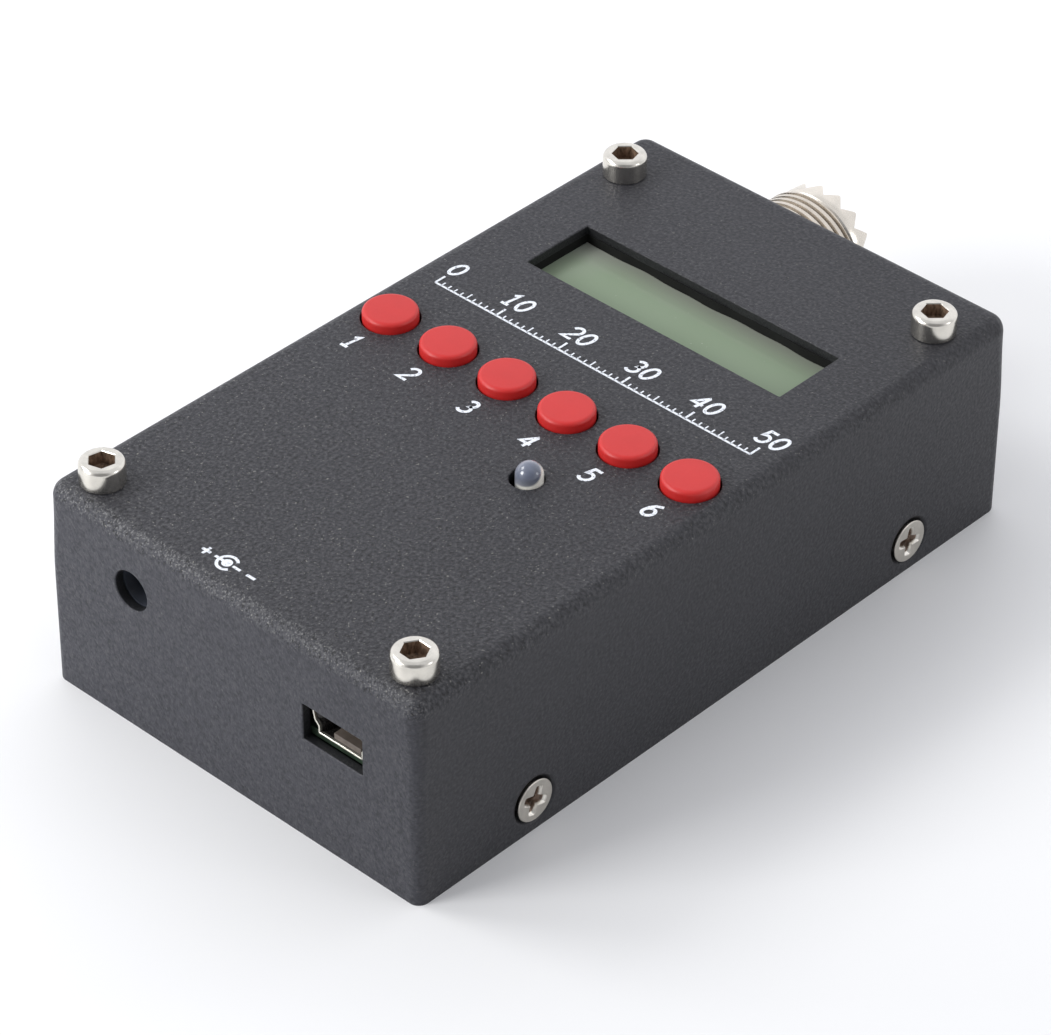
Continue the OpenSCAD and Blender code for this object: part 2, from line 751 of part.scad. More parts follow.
// The receptacle's shell, open in front, with the flared lip round its mouth
module usb_shell() {
    color(nickel) translate([usb_x, usb_front_y, board_z]) rotate([90, 0, 0]) difference() {
        union() {
            translate([0, 0, -usb_shell_l]) linear_extrude(usb_shell_l) usb_outline(0);
            translate([0, 0, -usb_lip_l]) linear_extrude(usb_lip_l)
                usb_outline(0, usb_lip_low_w, usb_lip_high_w);
        }
        translate([0, 0, -usb_shell_l + usb_shell_t])
            linear_extrude(usb_shell_l) usb_outline(usb_shell_t);
        translate([0, 0, -usb_lip_l + usb_shell_t])
            linear_extrude(usb_lip_l) usb_outline(usb_shell_t, usb_lip_low_w, usb_lip_high_w);
    }
}

// The black core inside the receptacle: a block that fills its back and the tongue
usb_tongue_z = 1.5;
module usb_tongue() {
    block_l = 3;
    tongue_w = 5.2;
    tongue_t = 0.9;
    tongue_z = usb_tongue_z;
    set_back = 1.4;
    back_y = usb_shell_l - usb_shell_t - seat_gap;
    color(black) translate([usb_x, usb_front_y, board_z]) {
        rotate([90, 0, 0]) translate([0, 0, -back_y])
            linear_extrude(block_l) usb_outline(usb_shell_t + seat_gap);
        translate([-tongue_w / 2, set_back, tongue_z])
            cube([tongue_w, back_y - block_l - set_back + eps, tongue_t]);
    }
}

module usb_contacts() {
    contact_w = 0.4;
    contact_t = 0.15;
    contact_pitch = 0.9;
    contact_l = 3.6;
    set_back = 1.6;
    color(gold) for (i = [-2:2])
        translate([usb_x + i * contact_pitch - contact_w / 2, usb_front_y + set_back,
                   board_z + usb_tongue_z - contact_t])
            cube([contact_w, contact_l, contact_t]);
}

supply_front_y = front_y + wall + 0.15;
supply_bore_r = 2.5;
supply_bore_l = 9.5;
supply_l = 13.5;
supply_w = 9;
supply_pin_back = 1;

module supply_socket() {
    crown_h = supply_w / 2;
    color(black) translate([-supply_x, supply_front_y, 0]) difference() {
        union() {
            translate([-supply_w / 2, 0, board_z]) cube([supply_w, supply_l, supply_z - board_z]);
            translate([0, 0, supply_z]) rotate([-90, 0, 0]) cylinder(r = crown_h, h = supply_l);
        }
        translate([0, -cut, supply_z])
            rotate([-90, 0, 0]) cylinder(r = supply_bore_r, h = supply_bore_l + cut);
    }
}

module supply_pin() {
    tip = 0.4;
    color(nickel) translate([-supply_x, supply_front_y + supply_bore_l, supply_z])
        rotate([90, 0, 0]) {
            cylinder(r = supply_pin_r, h = supply_bore_l - supply_pin_back - tip);
            translate([0, 0, supply_bore_l - supply_pin_back - tip])
                cylinder(r1 = supply_pin_r, r2 = supply_pin_r - tip, h = tip);
        }
}

module socket_flange() {
    color(nickel) translate([-socket_x, rear_y - wall, socket_z]) rotate([90, 0, 0]) difference() {
        linear_extrude(plate_t) difference() {
            round_rect(plate_w, plate_w, 1);
            circle(r = barrel_bore_r + seat_gap);
        }
        for (x = [-1, 1], y = [-1, 1])
            translate([x * plate_pitch / 2, y * plate_pitch / 2, -cut])
                cylinder(r = thread_r + tap_gap, h = plate_t + 2 * cut);
    }
}

// The antenna socket's barrel: relieved root, thread land, smooth neck and a rim of pointed teeth
module socket_barrel() {
    crown_l = neck_l + tooth_depth;
    land_l = wall + barrel_out - crown_l;
    lead_in = 0.4;
    color(nickel) translate([-socket_x, rear_y - wall, socket_z]) rotate([-90, 0, 0]) difference() {
        rotate_extrude() polygon([
            [barrel_bore_r, 0], [relief_r, 0], [relief_r, wall + relief_l - lead_in],
            [barrel_r, wall + relief_l], [barrel_r, land_l - lead_in],
            [crown_r, land_l], [crown_r, land_l + crown_l], [barrel_bore_r, land_l + crown_l]]);
        for (i = [1:tooth_count]) rotate([0, 0, i * 360 / tooth_count + tooth_turn])
            translate([0, 0, land_l + crown_l]) rotate([90, 0, 90]) linear_extrude(2 * barrel_r)
                polygon([[0, -tooth_depth], [tooth_half(), cut / 10], [-tooth_half(), cut / 10]]);
    }
}
function tooth_half() = PI * crown_r / tooth_count * 0.92;

module socket_insulator() {
    color([0.93, 0.92, 0.88]) translate([-socket_x, plate_y - insulator_back, socket_z])
        rotate([-90, 0, 0]) difference() {
            cylinder(r = barrel_bore_r - seat_gap, h = barrel_end_y - mouth_depth - plate_y + insulator_back);
            translate([0, 0, -cut])
                cylinder(r = contact_bore_r + contact_wall + seat_gap, h = case_l);
        }
}

module socket_contact() {
    contact_y = plate_y - insulator_back;
    contact_l = barrel_end_y - mouth_depth - contact_y;
    color(gold) translate([-socket_x, contact_y, socket_z]) rotate([-90, 0, 0]) difference() {
        union() {
            cylinder(r = contact_bore_r + contact_wall, h = contact_l);
            translate([0, 0, -contact_tail_l]) cylinder(r = contact_tail_r, h = contact_tail_l + eps);
        }
        translate([0, 0, contact_l - contact_bore_l])
            cylinder(r = contact_bore_r, h = contact_bore_l + cut);
    }
}

module socket_screws() {
    color(steel) at_plate_screws() pan_screw(pan_head_r, pan_head_h, thread_r, wall + plate_t + screw_past);
}

// A wire that rises from its start, crosses over towards the front end and comes down on the board
module hop_wire(rise, reach, drop) {
    cylinder(r = wire_r, h = rise - wire_bend);
    translate([0, -wire_bend, rise - wire_bend])
        rotate([90, 0, 90]) rotate_extrude(angle = 90) translate([wire_bend, 0]) circle(r = wire_r);
    translate([0, -wire_bend, rise]) rotate([90, 0, 0])
        cylinder(r = wire_r, h = reach - 2 * wire_bend);
    translate([0, -reach + wire_bend, rise - wire_bend])
        rotate([90, 0, 90]) rotate([0, 0, 90]) rotate_extrude(angle = 90)
            translate([wire_bend, 0]) circle(r = wire_r);
    translate([0, -reach, rise - drop]) cylinder(r = wire_r, h = drop - wire_bend);
}

module socket_lead() {
    start_z = socket_z + contact_tail_r;
    start_y = tail_y + 2 * wire_r;
    color(red) translate([-socket_x, start_y, start_z])
        hop_wire(wire_top_z - start_z, start_y - wire_land_y, wire_top_z - board_z);
}

module lever_slot(y, l) {
    w = lever_w + power_travel + 2 * lever_gap;
    translate([power_x - w / 2, y, socket_z - lever_h / 2 - lever_gap])
        cube([w, l, lever_h + 2 * lever_gap]);
}

module power_frame() {
    color(steel) difference() {
        translate([power_x - ear_w / 2, power_y, socket_z - power_h / 2])
            cube([ear_w, power_plate_t, power_h]);
        lever_slot(power_y - cut, power_plate_t + 2 * cut);
        at_power_screws() translate([0, 0, -wall - power_plate_t - cut])
            cylinder(r = small_thread_r + tap_gap, h = power_plate_t + 2 * cut);
    }
}

module power_body() {
    bay_w = slider_w + power_travel + 2 * lever_gap;
    bay_h = power_h - 2;
    bay_l = slider_t + 2 * lever_gap;
    color(black) difference() {
        translate([power_x - power_w / 2, power_y - power_depth, socket_z - power_h / 2])
            cube([power_w, power_depth, power_h]);
        translate([power_x - bay_w / 2, power_y - bay_l, socket_z - bay_h / 2])
            cube([bay_w, bay_l + cut, bay_h]);
    }
}

// The lever, at its off end, with the slider that carries it
module power_lever() {
    slider_h = power_h - 2 - 2 * lever_gap;
    x = power_x - power_travel / 2;
    y = power_y - lever_gap - slider_t;
    color(black) {
        translate([x - slider_w / 2, y, socket_z - slider_h / 2]) cube([slider_w, slider_t, slider_h]);
        translate([x - lever_w / 2, y, socket_z - lever_h / 2])
            cube([lever_w, rear_y + lever_out - y, lever_h]);
    }
}

module power_screws() {
    color(steel) at_power_screws()
        pan_screw(small_head_r, small_head_h, small_thread_r, wall + power_plate_t + screw_past);
}

module power_terminals() {
    color(nickel) for (i = [-1, 0, 1])
        translate([power_x + i * terminal_pitch - terminal_w / 2, terminal_y,
                   socket_z - terminal_t / 2])
            cube([terminal_w, terminal_l, terminal_t]);
}

module power_leads() {
    start_z = socket_z + terminal_t / 2;
    start_y = terminal_y + 2 * wire_r;
    color(red) for (i = [-1, 0])
        translate([power_x + i * terminal_pitch, start_y, start_z])
            hop_wire(wire_top_z - start_z, start_y - wire_land_y, wire_top_z - board_z);
}

module battery_pack() {
    pack_r = 2;
    color([0.25, 0.35, 0.6]) translate([0, pack_y, pack_z]) rotate([90, 0, 0])
        translate([0, pack_t / 2, -pack_l / 2]) linear_extrude(pack_l)
            round_rect(pack_w, pack_t, pack_r);
}

module battery_pad() {
    color([0.15, 0.15, 0.15]) translate([0, pack_y, wall + pad_t / 2])
        cube([pack_w - 2 * pad_inset, pack_l - 2 * pad_inset, pad_t], center = true);
}

plug_low_z = board_z - board_t - plug_h - plug_top_h;
lead_z = pack_z + pack_t / 2;

// Two leads from the pack's end, which turn up into the plug
module battery_leads() {
    lead_pitch = 2.5;
    lead_r = 0.6;
    bend = 1;
    color(red) for (s = [-1, 1]) translate([plug_x + s * lead_pitch / 2, 0, lead_z]) {
        translate([0, lead_y, 0]) rotate([-90, 0, 0])
            cylinder(r = lead_r, h = plug_y - bend - lead_y);
        translate([0, plug_y - bend, bend]) rotate([90, 0, 90]) rotate([0, 0, -90])
            rotate_extrude(angle = 90) translate([bend, 0]) circle(r = lead_r);
        translate([0, plug_y, bend]) cylinder(r = lead_r, h = plug_low_z - lead_z - bend);
    }
}

module battery_plug() {
    color([0.92, 0.9, 0.84]) translate([plug_x, plug_y, plug_low_z + plug_h / 2])
        cube([plug_w, plug_d, plug_h], center = true);
}

module battery_header() {
    color([0.86, 0.84, 0.78])
        translate([plug_x, plug_y, board_z - board_t - plug_top_h / 2])
            cube([plug_w + 2 * plug_top_lap, plug_d + 2 * plug_top_lap, plug_top_h], center = true);
}

// A surface-mounted chip: a flat body and two rows of bent leads
module chip(w, l, h, leads, pitch) {
    lead_w = pitch * 0.4;
    lead_t = 0.2;
    foot = 1.1;
    translate([-w / 2, -l / 2, lead_t]) cube([w, l, h - lead_t]);
    for (s = [-1, 1], i = [1:leads / 2])
        translate([s * (w / 2 + foot / 2 - eps), (i - (leads / 2 + 1) / 2) * pitch, 0]) {
            translate([-foot / 2, -lead_w / 2, 0]) cube([foot, lead_w, lead_t]);
            translate([s > 0 ? -foot / 2 : foot / 2 - lead_t - eps, -lead_w / 2, 0])
                cube([lead_t + eps, lead_w, h / 2]);
        }
}

module processor() {
    body_w = 7.5;
    body_l = 17.9;
    body_h = 2.4;
    leads = 28;
    pitch = 1.27;
    color(black) translate([0, chip_y, board_z]) chip(body_w, body_l, body_h, leads, pitch);
}

module signal_chip() {
    body_w = 5.3;
    body_l = 10.2;
    body_h = 1.8;
    leads = 28;
    pitch = 0.65;
    behind_socket = 1.9;
    color(black)
        translate([-supply_x, supply_front_y + supply_l + behind_socket + body_l / 2, board_z])
            chip(body_w, body_l, body_h, leads, pitch);
}

// A crystal in its long rounded metal can
module crystal() {
    can_h = 3.5;
    can_r = 2.3;
    can_l = 11;
    beside_chip = 9;
    color(nickel) translate([beside_chip, chip_y, board_z]) linear_extrude(can_h)
        round_rect(2 * can_r, can_l, can_r - eps);
}

module capacitors() {
    can_r = 3.15;
    can_h = 5.4;
    from_side = 11;
    from_keys = 9.65;
    color(steel) for (x = [-1, 1])
        translate([x * (case_w / 2 - from_side), key_y - from_keys, board_z])
            cylinder(r = can_r, h = can_h);
}

// The measuring bridge's ring core, below the board by the antenna socket
module bridge_core() {
    core_r = 4.2;
    core_t = 3.2;
    core_h = 3.2;
    core_gap = 0.6;
    color([0.35, 0.33, 0.3])
        translate([-socket_x, header_y - header_pitch / 2 - core_r - core_gap,
                   board_z - board_t - core_h])
            rotate_extrude() translate([core_r - core_t, 0]) square([core_t, core_h]);
}

cover();
base_tray();
top_screws();
side_screws();
posts();
board_screws();
main_board();
key_cap(1);  // key_cap_1
key_cap(2);  // key_cap_2
key_cap(3);  // key_cap_3
key_cap(4);  // key_cap_4
key_cap(5);  // key_cap_5
key_cap(6);  // key_cap_6
plunger(1);  // plunger_1
plunger(2);  // plunger_2
plunger(3);  // plunger_3
plunger(4);  // plunger_4
plunger(5);  // plunger_5
plunger(6);  // plunger_6
switch_cases();
switch_plates();
switch_domes();
display_glass();
display_foam();
display_frame();
display_backlight();
display_board();
display_header();
display_pins();
display_spacers();
display_screws();
lamp_lens();
lamp_legs();
usb_shell();
usb_tongue();
usb_contacts();
supply_socket();
supply_pin();
socket_flange();
socket_barrel();
socket_insulator();
socket_contact();
socket_screws();
socket_lead();
power_body();
power_frame();
power_lever();
power_screws();
power_terminals();
power_leads();
battery_pack();
battery_pad();
battery_leads();
battery_plug();
battery_header();
processor();
signal_chip();
crystal();
capacitors();
bridge_core();
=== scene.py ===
"""Looks of a handheld antenna analyzer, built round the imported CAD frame.

Every piece that is new here is a surface worked out from formulas in numpy. The sizes on show are
metres; the formulas use millimetres in the CAD frame: X along the display's lines, Y from the supply
end to the antenna socket, Z up from the underside.
"""
import math

import bmesh
import bpy
import numpy as np
from bpy.props import FloatProperty, FloatVectorProperty, IntProperty, PointerProperty
from mathutils import Matrix, Vector
from mathutils.geometry import tessellate_polygon


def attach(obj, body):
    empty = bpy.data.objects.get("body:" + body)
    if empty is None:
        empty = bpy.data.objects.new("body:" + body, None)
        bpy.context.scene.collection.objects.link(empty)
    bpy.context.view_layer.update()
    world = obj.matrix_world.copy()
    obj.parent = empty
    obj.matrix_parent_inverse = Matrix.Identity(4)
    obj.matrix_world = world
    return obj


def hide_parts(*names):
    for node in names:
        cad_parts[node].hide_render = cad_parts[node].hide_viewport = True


bl_info = {
    "name": "Antenna analyzer looks",
    "version": (1, 0, 0),
    "blender": (4, 5, 0),
    "location": "3D View > Sidebar > Analyzer",
    "description": "Builds the visible pieces, finishes and studio of the antenna analyzer",
    "category": "Object",
}

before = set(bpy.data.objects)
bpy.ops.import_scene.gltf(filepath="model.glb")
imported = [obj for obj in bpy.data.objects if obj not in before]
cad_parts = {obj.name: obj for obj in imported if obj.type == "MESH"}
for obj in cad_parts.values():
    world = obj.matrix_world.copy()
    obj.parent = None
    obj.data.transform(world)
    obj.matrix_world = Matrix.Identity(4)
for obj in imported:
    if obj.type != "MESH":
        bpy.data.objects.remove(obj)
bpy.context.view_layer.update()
MM = 0.001

# the case, in millimetres
CASE_W, CASE_L, CASE_H, WALL = 59.0, 101.3, 28.3, 1.2
SIDE_SCREW_FRONT, SIDE_SCREW_REAR, SIDE_SCREW_Z = -32.15, 33.25, 4.28
REAR_Y = CASE_L / 2
BOARD_Z = 15.1
# how far each crossing stroke of the print lies below the one before it
LAYER = 0.004


# ---------------------------------------------------------------- meshes

def raised(outline, height):
    """An outline of (x, y) at one height."""
    return np.c_[outline, np.full(len(outline), height)]


def around(count):
    """Equal angles once round a circle."""
    return np.arange(count) * (2 * np.pi / count)


def fillet(radius, height, edge, steps=7):
    """Profile points of a rounded rim: (R - e + e cos t, H - e + e sin t) for t from 0 to 90 degrees."""
    t = np.linspace(0, np.pi / 2, steps)
    return list(zip(radius - edge + edge * np.cos(t), height - edge + edge * np.sin(t)))


def grid_faces(rows, columns, wrap=False, close=False):
    """Quads of a grid whose vertex (i, j) is i * columns + j.

    With wrap the last column joins the first one, and with close the last row joins the first one.
    """
    i, j = np.meshgrid(np.arange(rows if close else rows - 1), np.arange(columns if wrap else columns - 1),
                       indexing="ij")
    up, k = (i + 1) % rows, (j + 1) % columns
    quads = np.stack([i * columns + j, i * columns + k, up * columns + k, up * columns + j], -1)
    return quads.reshape(-1, 4).tolist()


def ring(radius, height, angles):
    """One ring of points (r cos a, r sin a, z); the radius and the height are numbers or arrays."""
    return np.c_[radius * np.cos(angles), radius * np.sin(angles), np.broadcast_to(height, angles.shape)]


def stack(rings, closed=False, low_pole=None, high_pole=None):
    """Joins rings of equally many points in order; closed joins the last to the first, a pole fans an end."""
    count = len(rings[0])
    verts = np.concatenate(rings)
    faces = grid_faces(len(rings), count, wrap=True, close=closed)
    for pole, start in ((low_pole, 0), (high_pole, (len(rings) - 1) * count)):
        if pole is not None:
            verts = np.vstack([verts, pole])
            tip = len(verts) - 1
            faces += [[start + j, start + (j + 1) % count, tip] for j in range(count)]
    return verts, faces


def lathe(profile, segments):
    """Turns a profile of (radius, height) about +Z: point k at angle a is (r cos a, r sin a, z).

    The profile starts and ends on the axis, where its two ends become poles.
    """
    angles = around(segments)
    (_, first), *middle, (_, last) = profile
    return stack([ring(r, z, angles) for r, z in middle], low_pole=(0, 0, first), high_pole=(0, 0, last))


def rounded_outline(points, radii, steps=6):
    """A closed outline whose corner k is an arc of radius radii[k], tangent to both of its sides."""
    points = np.asarray(points, float)
    count = len(points)
    radii = np.broadcast_to(radii, count)
    made = []
    for k in range(count):
        p, a, b = points[k], points[k - 1], points[(k + 1) % count]
        u, v = (a - p) / np.linalg.norm(a - p), (b - p) / np.linalg.norm(b - p)
        half = math.acos(float(np.clip(u @ v, -1, 1))) / 2
        reach = radii[k] / math.tan(half)
        middle = (u + v) / np.linalg.norm(u + v)
        centre = p + middle * radii[k] / math.sin(half)
        first, last = p + u * reach - centre, p + v * reach - centre
        turn = math.atan2(first[0] * last[1] - first[1] * last[0], first @ last)
        t = np.linspace(0, turn, steps + 1)
        made.append(centre + np.c_[first[0] * np.cos(t) - first[1] * np.sin(t),
                                   first[0] * np.sin(t) + first[1] * np.cos(t)])
    return np.concatenate(made)


def mitred(points, before, after, distance, least):
    """Points moved to the left of their line, along the mean of their two sides' normals.

    At a corner the way is longer: distance / cosine of half the turn, with that cosine held at least.
    """
    normals = [np.c_[-side[:, 1], side[:, 0]] / (np.linalg.norm(side, axis=1)[:, None] + 1e-12)
               for side in (points - before, after - points)]
    mean = normals[0] + normals[1]
    mean /= np.linalg.norm(mean, axis=1)[:, None] + 1e-12
    return points + mean * (distance / np.clip((mean * normals[0]).sum(1), least, 1))[:, None]


def drawn_in(outline, distance):
    """A closed outline moved to its left by a distance."""
    return mitred(outline, np.roll(outline, 1, 0), np.roll(outline, -1, 0), distance, 0.3)


def slab(outline, low, high, edge=0.0, steps=3):
    """A counter-clockwise outline as a solid from low to high, its two rims rounded to a radius of edge."""
    rings = [(0, low), (0, high)]
    if edge > 0:
        turn = np.linspace(0, np.pi / 2, steps + 1)
        rings = [(edge * (1 - math.sin(t)), low + edge * (1 - math.cos(t))) for t in turn]
        rings += [(edge * (1 - math.sin(t)), high - edge * (1 - math.cos(t))) for t in turn[::-1]]
    verts = np.concatenate([raised(drawn_in(outline, d), z) for d, z in rings])
    count = len(outline)
    faces = grid_faces(len(rings), count, wrap=True)
    faces.append(list(range(count))[::-1])
    faces.append(list(range(len(verts) - count, len(verts))))
    return verts, faces


def block(low, high, edge=0.1):
    """A block between two corners, its upright edges and both rims rounded."""
    (x0, y0, z0), (x1, y1, z1) = low, high
    return slab(oblong((x0 + x1) / 2, (y0 + y1) / 2, x1 - x0, y1 - y0, edge), z0, z1, edge * 0.7)


def circle(x, y, radius, count=48):
    """A counter-clockwise circle: (x + r cos a, y + r sin a)."""
    a = around(count)
    return np.c_[x + radius * np.cos(a), y + radius * np.sin(a)]


def oblong(x, y, w, l, radius=0.15, steps=3):
    """A counter-clockwise rectangle round a centre, its corners rounded."""
    return rounded_outline([(x - w / 2, y - l / 2), (x + w / 2, y - l / 2), (x + w / 2, y + l / 2),
                            (x - w / 2, y + l / 2)], radius, steps)


def plate(outline, holes, height=0.0):
    """A flat outline less its holes, as triangles at one height."""
    loops = [np.asarray(loop) for loop in (outline, *holes)]
    faces = tessellate_polygon([[Vector((u, v, 0)) for u, v in loop] for loop in loops])
    return raised(np.concatenate(loops), height), [list(face) for face in faces]


def tube(loops):
    """The wall between loops of (outline, height) that have equally many points."""
    return stack([raised(outline, height) for outline, height in loops])


def ribbon(points, width, low, high, loop=False):
    """A flat stroke of one width along a line of points, from low to high, its corners mitred."""
    p = np.asarray(points, float)
    if loop:
        before, after = np.roll(p, 1, 0), np.roll(p, -1, 0)
    else:
        before, after = np.vstack([2 * p[0] - p[1], p[:-1]]), np.vstack([p[1:], 2 * p[-1] - p[-2]])
    left, right = (mitred(p, before, after, side * width / 2, 0.5) for side in (1, -1))
    sides = [raised(left, low), raised(left, high), raised(right, high), raised(right, low)]
    faces = grid_faces(len(p), 4, wrap=True, close=loop)
    if not loop:
        last = (len(p) - 1) * 4
        faces += [[3, 2, 1, 0], [last + j for j in range(4)]]
    return np.stack(sides, 1).reshape(-1, 3), faces


def arc(cx, cy, rx, ry, start, stop, steps=14):
    """Points of an ellipse's arc, with its angles in degrees."""
    a = np.radians(np.linspace(start, stop, steps))
    return np.c_[cx + rx * np.cos(a), cy + ry * np.sin(a)].tolist()


def joined(*parts):
    """Several (vertices, faces) as one."""
    verts, faces, start = [], [], 0
    for v, f in parts:
        verts.append(np.asarray(v, float))
        faces.extend([[i + start for i in face] for face in f])
        start += len(v)
    return np.concatenate(verts), faces


def placed(part, origin, up=(0, 0, 1), turn=0.0):
    """Moves a part so that its own +Z points along up, after a turn in degrees about that axis."""
    verts, faces = part
    spin = Matrix.Rotation(math.radians(turn), 3, "Z")
    aim = Vector((0, 0, 1)).rotation_difference(Vector(up)).to_matrix()
    return verts @ np.array(aim @ spin).T + np.asarray(origin, float), faces


def piece(name, part, finish, body="case", stands_for=(), smooth=38.0, weld=0.0):
    """The mesh object of one part: millimetres to metres, faces outward, edges over an angle kept sharp."""
    verts, faces = part
    mesh = bpy.data.meshes.new(name)
    mesh.from_pydata((np.asarray(verts) * MM).tolist(), [], [list(map(int, f)) for f in faces])
    work = bmesh.new()
    work.from_mesh(mesh)
    if weld:
        bmesh.ops.remove_doubles(work, verts=work.verts[:], dist=weld * MM)
        bmesh.ops.dissolve_degenerate(work, edges=work.edges[:], dist=weld * MM)
    bmesh.ops.recalc_face_normals(work, faces=work.faces[:])
    work.to_mesh(mesh)
    work.free()
    mesh.shade_smooth()
    mesh.set_sharp_from_angle(angle=math.radians(smooth))
    made = bpy.data.objects.new(name, mesh)
    bpy.context.scene.collection.objects.link(made)
    mesh.materials.append(finish)
    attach(made, body)
    if stands_for:
        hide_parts(*stands_for)
    return made


# ---------------------------------------------------------------- finishes

def linear(r, g, b):
    """An sRGB colour in 0 to 255 as linear values with alpha."""
    def one(v):
        v /= 255
        return v / 12.92 if v <= 0.04045 else ((v + 0.055) / 1.055) ** 2.4
    return (one(r), one(g), one(b), 1.0)


class Finish:
    """A short way to write a material's node tree."""

    def __init__(self, name):
        self.material = bpy.data.materials.new(name)
        self.material.use_nodes = True
        self.tree = self.material.node_tree
        self.tree.nodes.clear()
        self.out = self.tree.nodes.new("ShaderNodeOutputMaterial")
        self.place = self.tree.nodes.new("ShaderNodeTexCoord").outputs["Object"]

    def node(self, kind, outlet=0, **given):
        """Adds a node: names that are its settings are set, and the rest are inputs, as values or sockets."""
        made = self.tree.nodes.new(kind)
        for key, value in given.items():
            if hasattr(made, key) and key not in made.inputs:
                setattr(made, key, value)
        for key, value in given.items():
            if key in made.inputs or key.startswith("in"):
                socket = made.inputs[int(key[2:])] if key.startswith("in") else made.inputs[key]
                if isinstance(value, bpy.types.NodeSocket):
                    self.tree.links.new(value, socket)
                else:
                    socket.default_value = value
        return made.outputs[outlet]

    def maths(self, operation, *values, clamp=False):
        return self.node("ShaderNodeMath", operation=operation, use_clamp=clamp,
                         **{f"in{i}": v for i, v in enumerate(values)})

    def noise(self, scale, detail=2.0, rough=0.5, where=None, w=None):
        given = {"Scale": scale, "Detail": detail, "Roughness": rough, "Vector": where or self.place}
        if w is not None:
            given.update(noise_dimensions="4D", W=w)
        return self.node("ShaderNodeTexNoise", **given)

    def ramp(self, value, low, high, to_low=0.0, to_high=1.0):
        return self.node("ShaderNodeMapRange", Value=value,
                         **{"From Min": low, "From Max": high, "To Min": to_low, "To Max": to_high})

    def mix(self, share, a, b):
        return self.node("ShaderNodeMix", 2, data_type="RGBA", in0=share, in6=a, in7=b)

    def times(self, a, b):
        return self.maths("MULTIPLY", a, b)

    def tint(self, tone, share, strength, *colour):
        """Lays a colour (0 to 255) over a tone by a share times a strength."""
        return self.mix(self.times(share, strength), tone, linear(*colour))

    def dot(self, vector, direction):
        return self.node("ShaderNodeVectorMath", 1, operation="DOT_PRODUCT", in0=vector, in1=direction)

    def less(self, point):
        """The place on the piece less a point in metres."""
        return self.node("ShaderNodeVectorMath", operation="SUBTRACT", in0=self.place, in1=point)

    def stretch(self, x, y, z):
        return self.node("ShaderNodeVectorMath", operation="MULTIPLY", in0=self.place, in1=(x, y, z))

    def axis(self, outlet):
        return self.node("ShaderNodeSeparateXYZ", outlet, Vector=self.place)

    def away(self, centre, share=(1, 1, 1)):
        """Distance in metres from a point in millimetres, each axis weighed by its share."""
        moved = self.less(tuple(v * MM for v in centre))
        weighed = self.node("ShaderNodeVectorMath", operation="MULTIPLY", in0=moved, in1=share)
        return self.node("ShaderNodeVectorMath", 1, operation="LENGTH", in0=weighed)

    def between(self, value, low, high, soft=0.05):
        """1 inside a span in millimetres and 0 outside it, with soft ends."""
        rise = self.ramp(value, (low - soft) * MM, low * MM)
        fall = self.ramp(value, high * MM, (high + soft) * MM, 1.0, 0.0)
        return self.times(rise, fall)

    def bump(self, height, strength, distance, onto=None):
        given = {"Height": height, "Strength": strength, "Distance": distance}
        if onto is not None:
            given["Normal"] = onto
        return self.node("ShaderNodeBump", **given)

    def principled(self, **given):
        names = {key.replace("_", " "): value for key, value in given.items()}
        return self.node("ShaderNodeBsdfPrincipled", **names)

    def done(self, shader):
        self.tree.links.new(shader, self.out.inputs["Surface"])
        return self.material


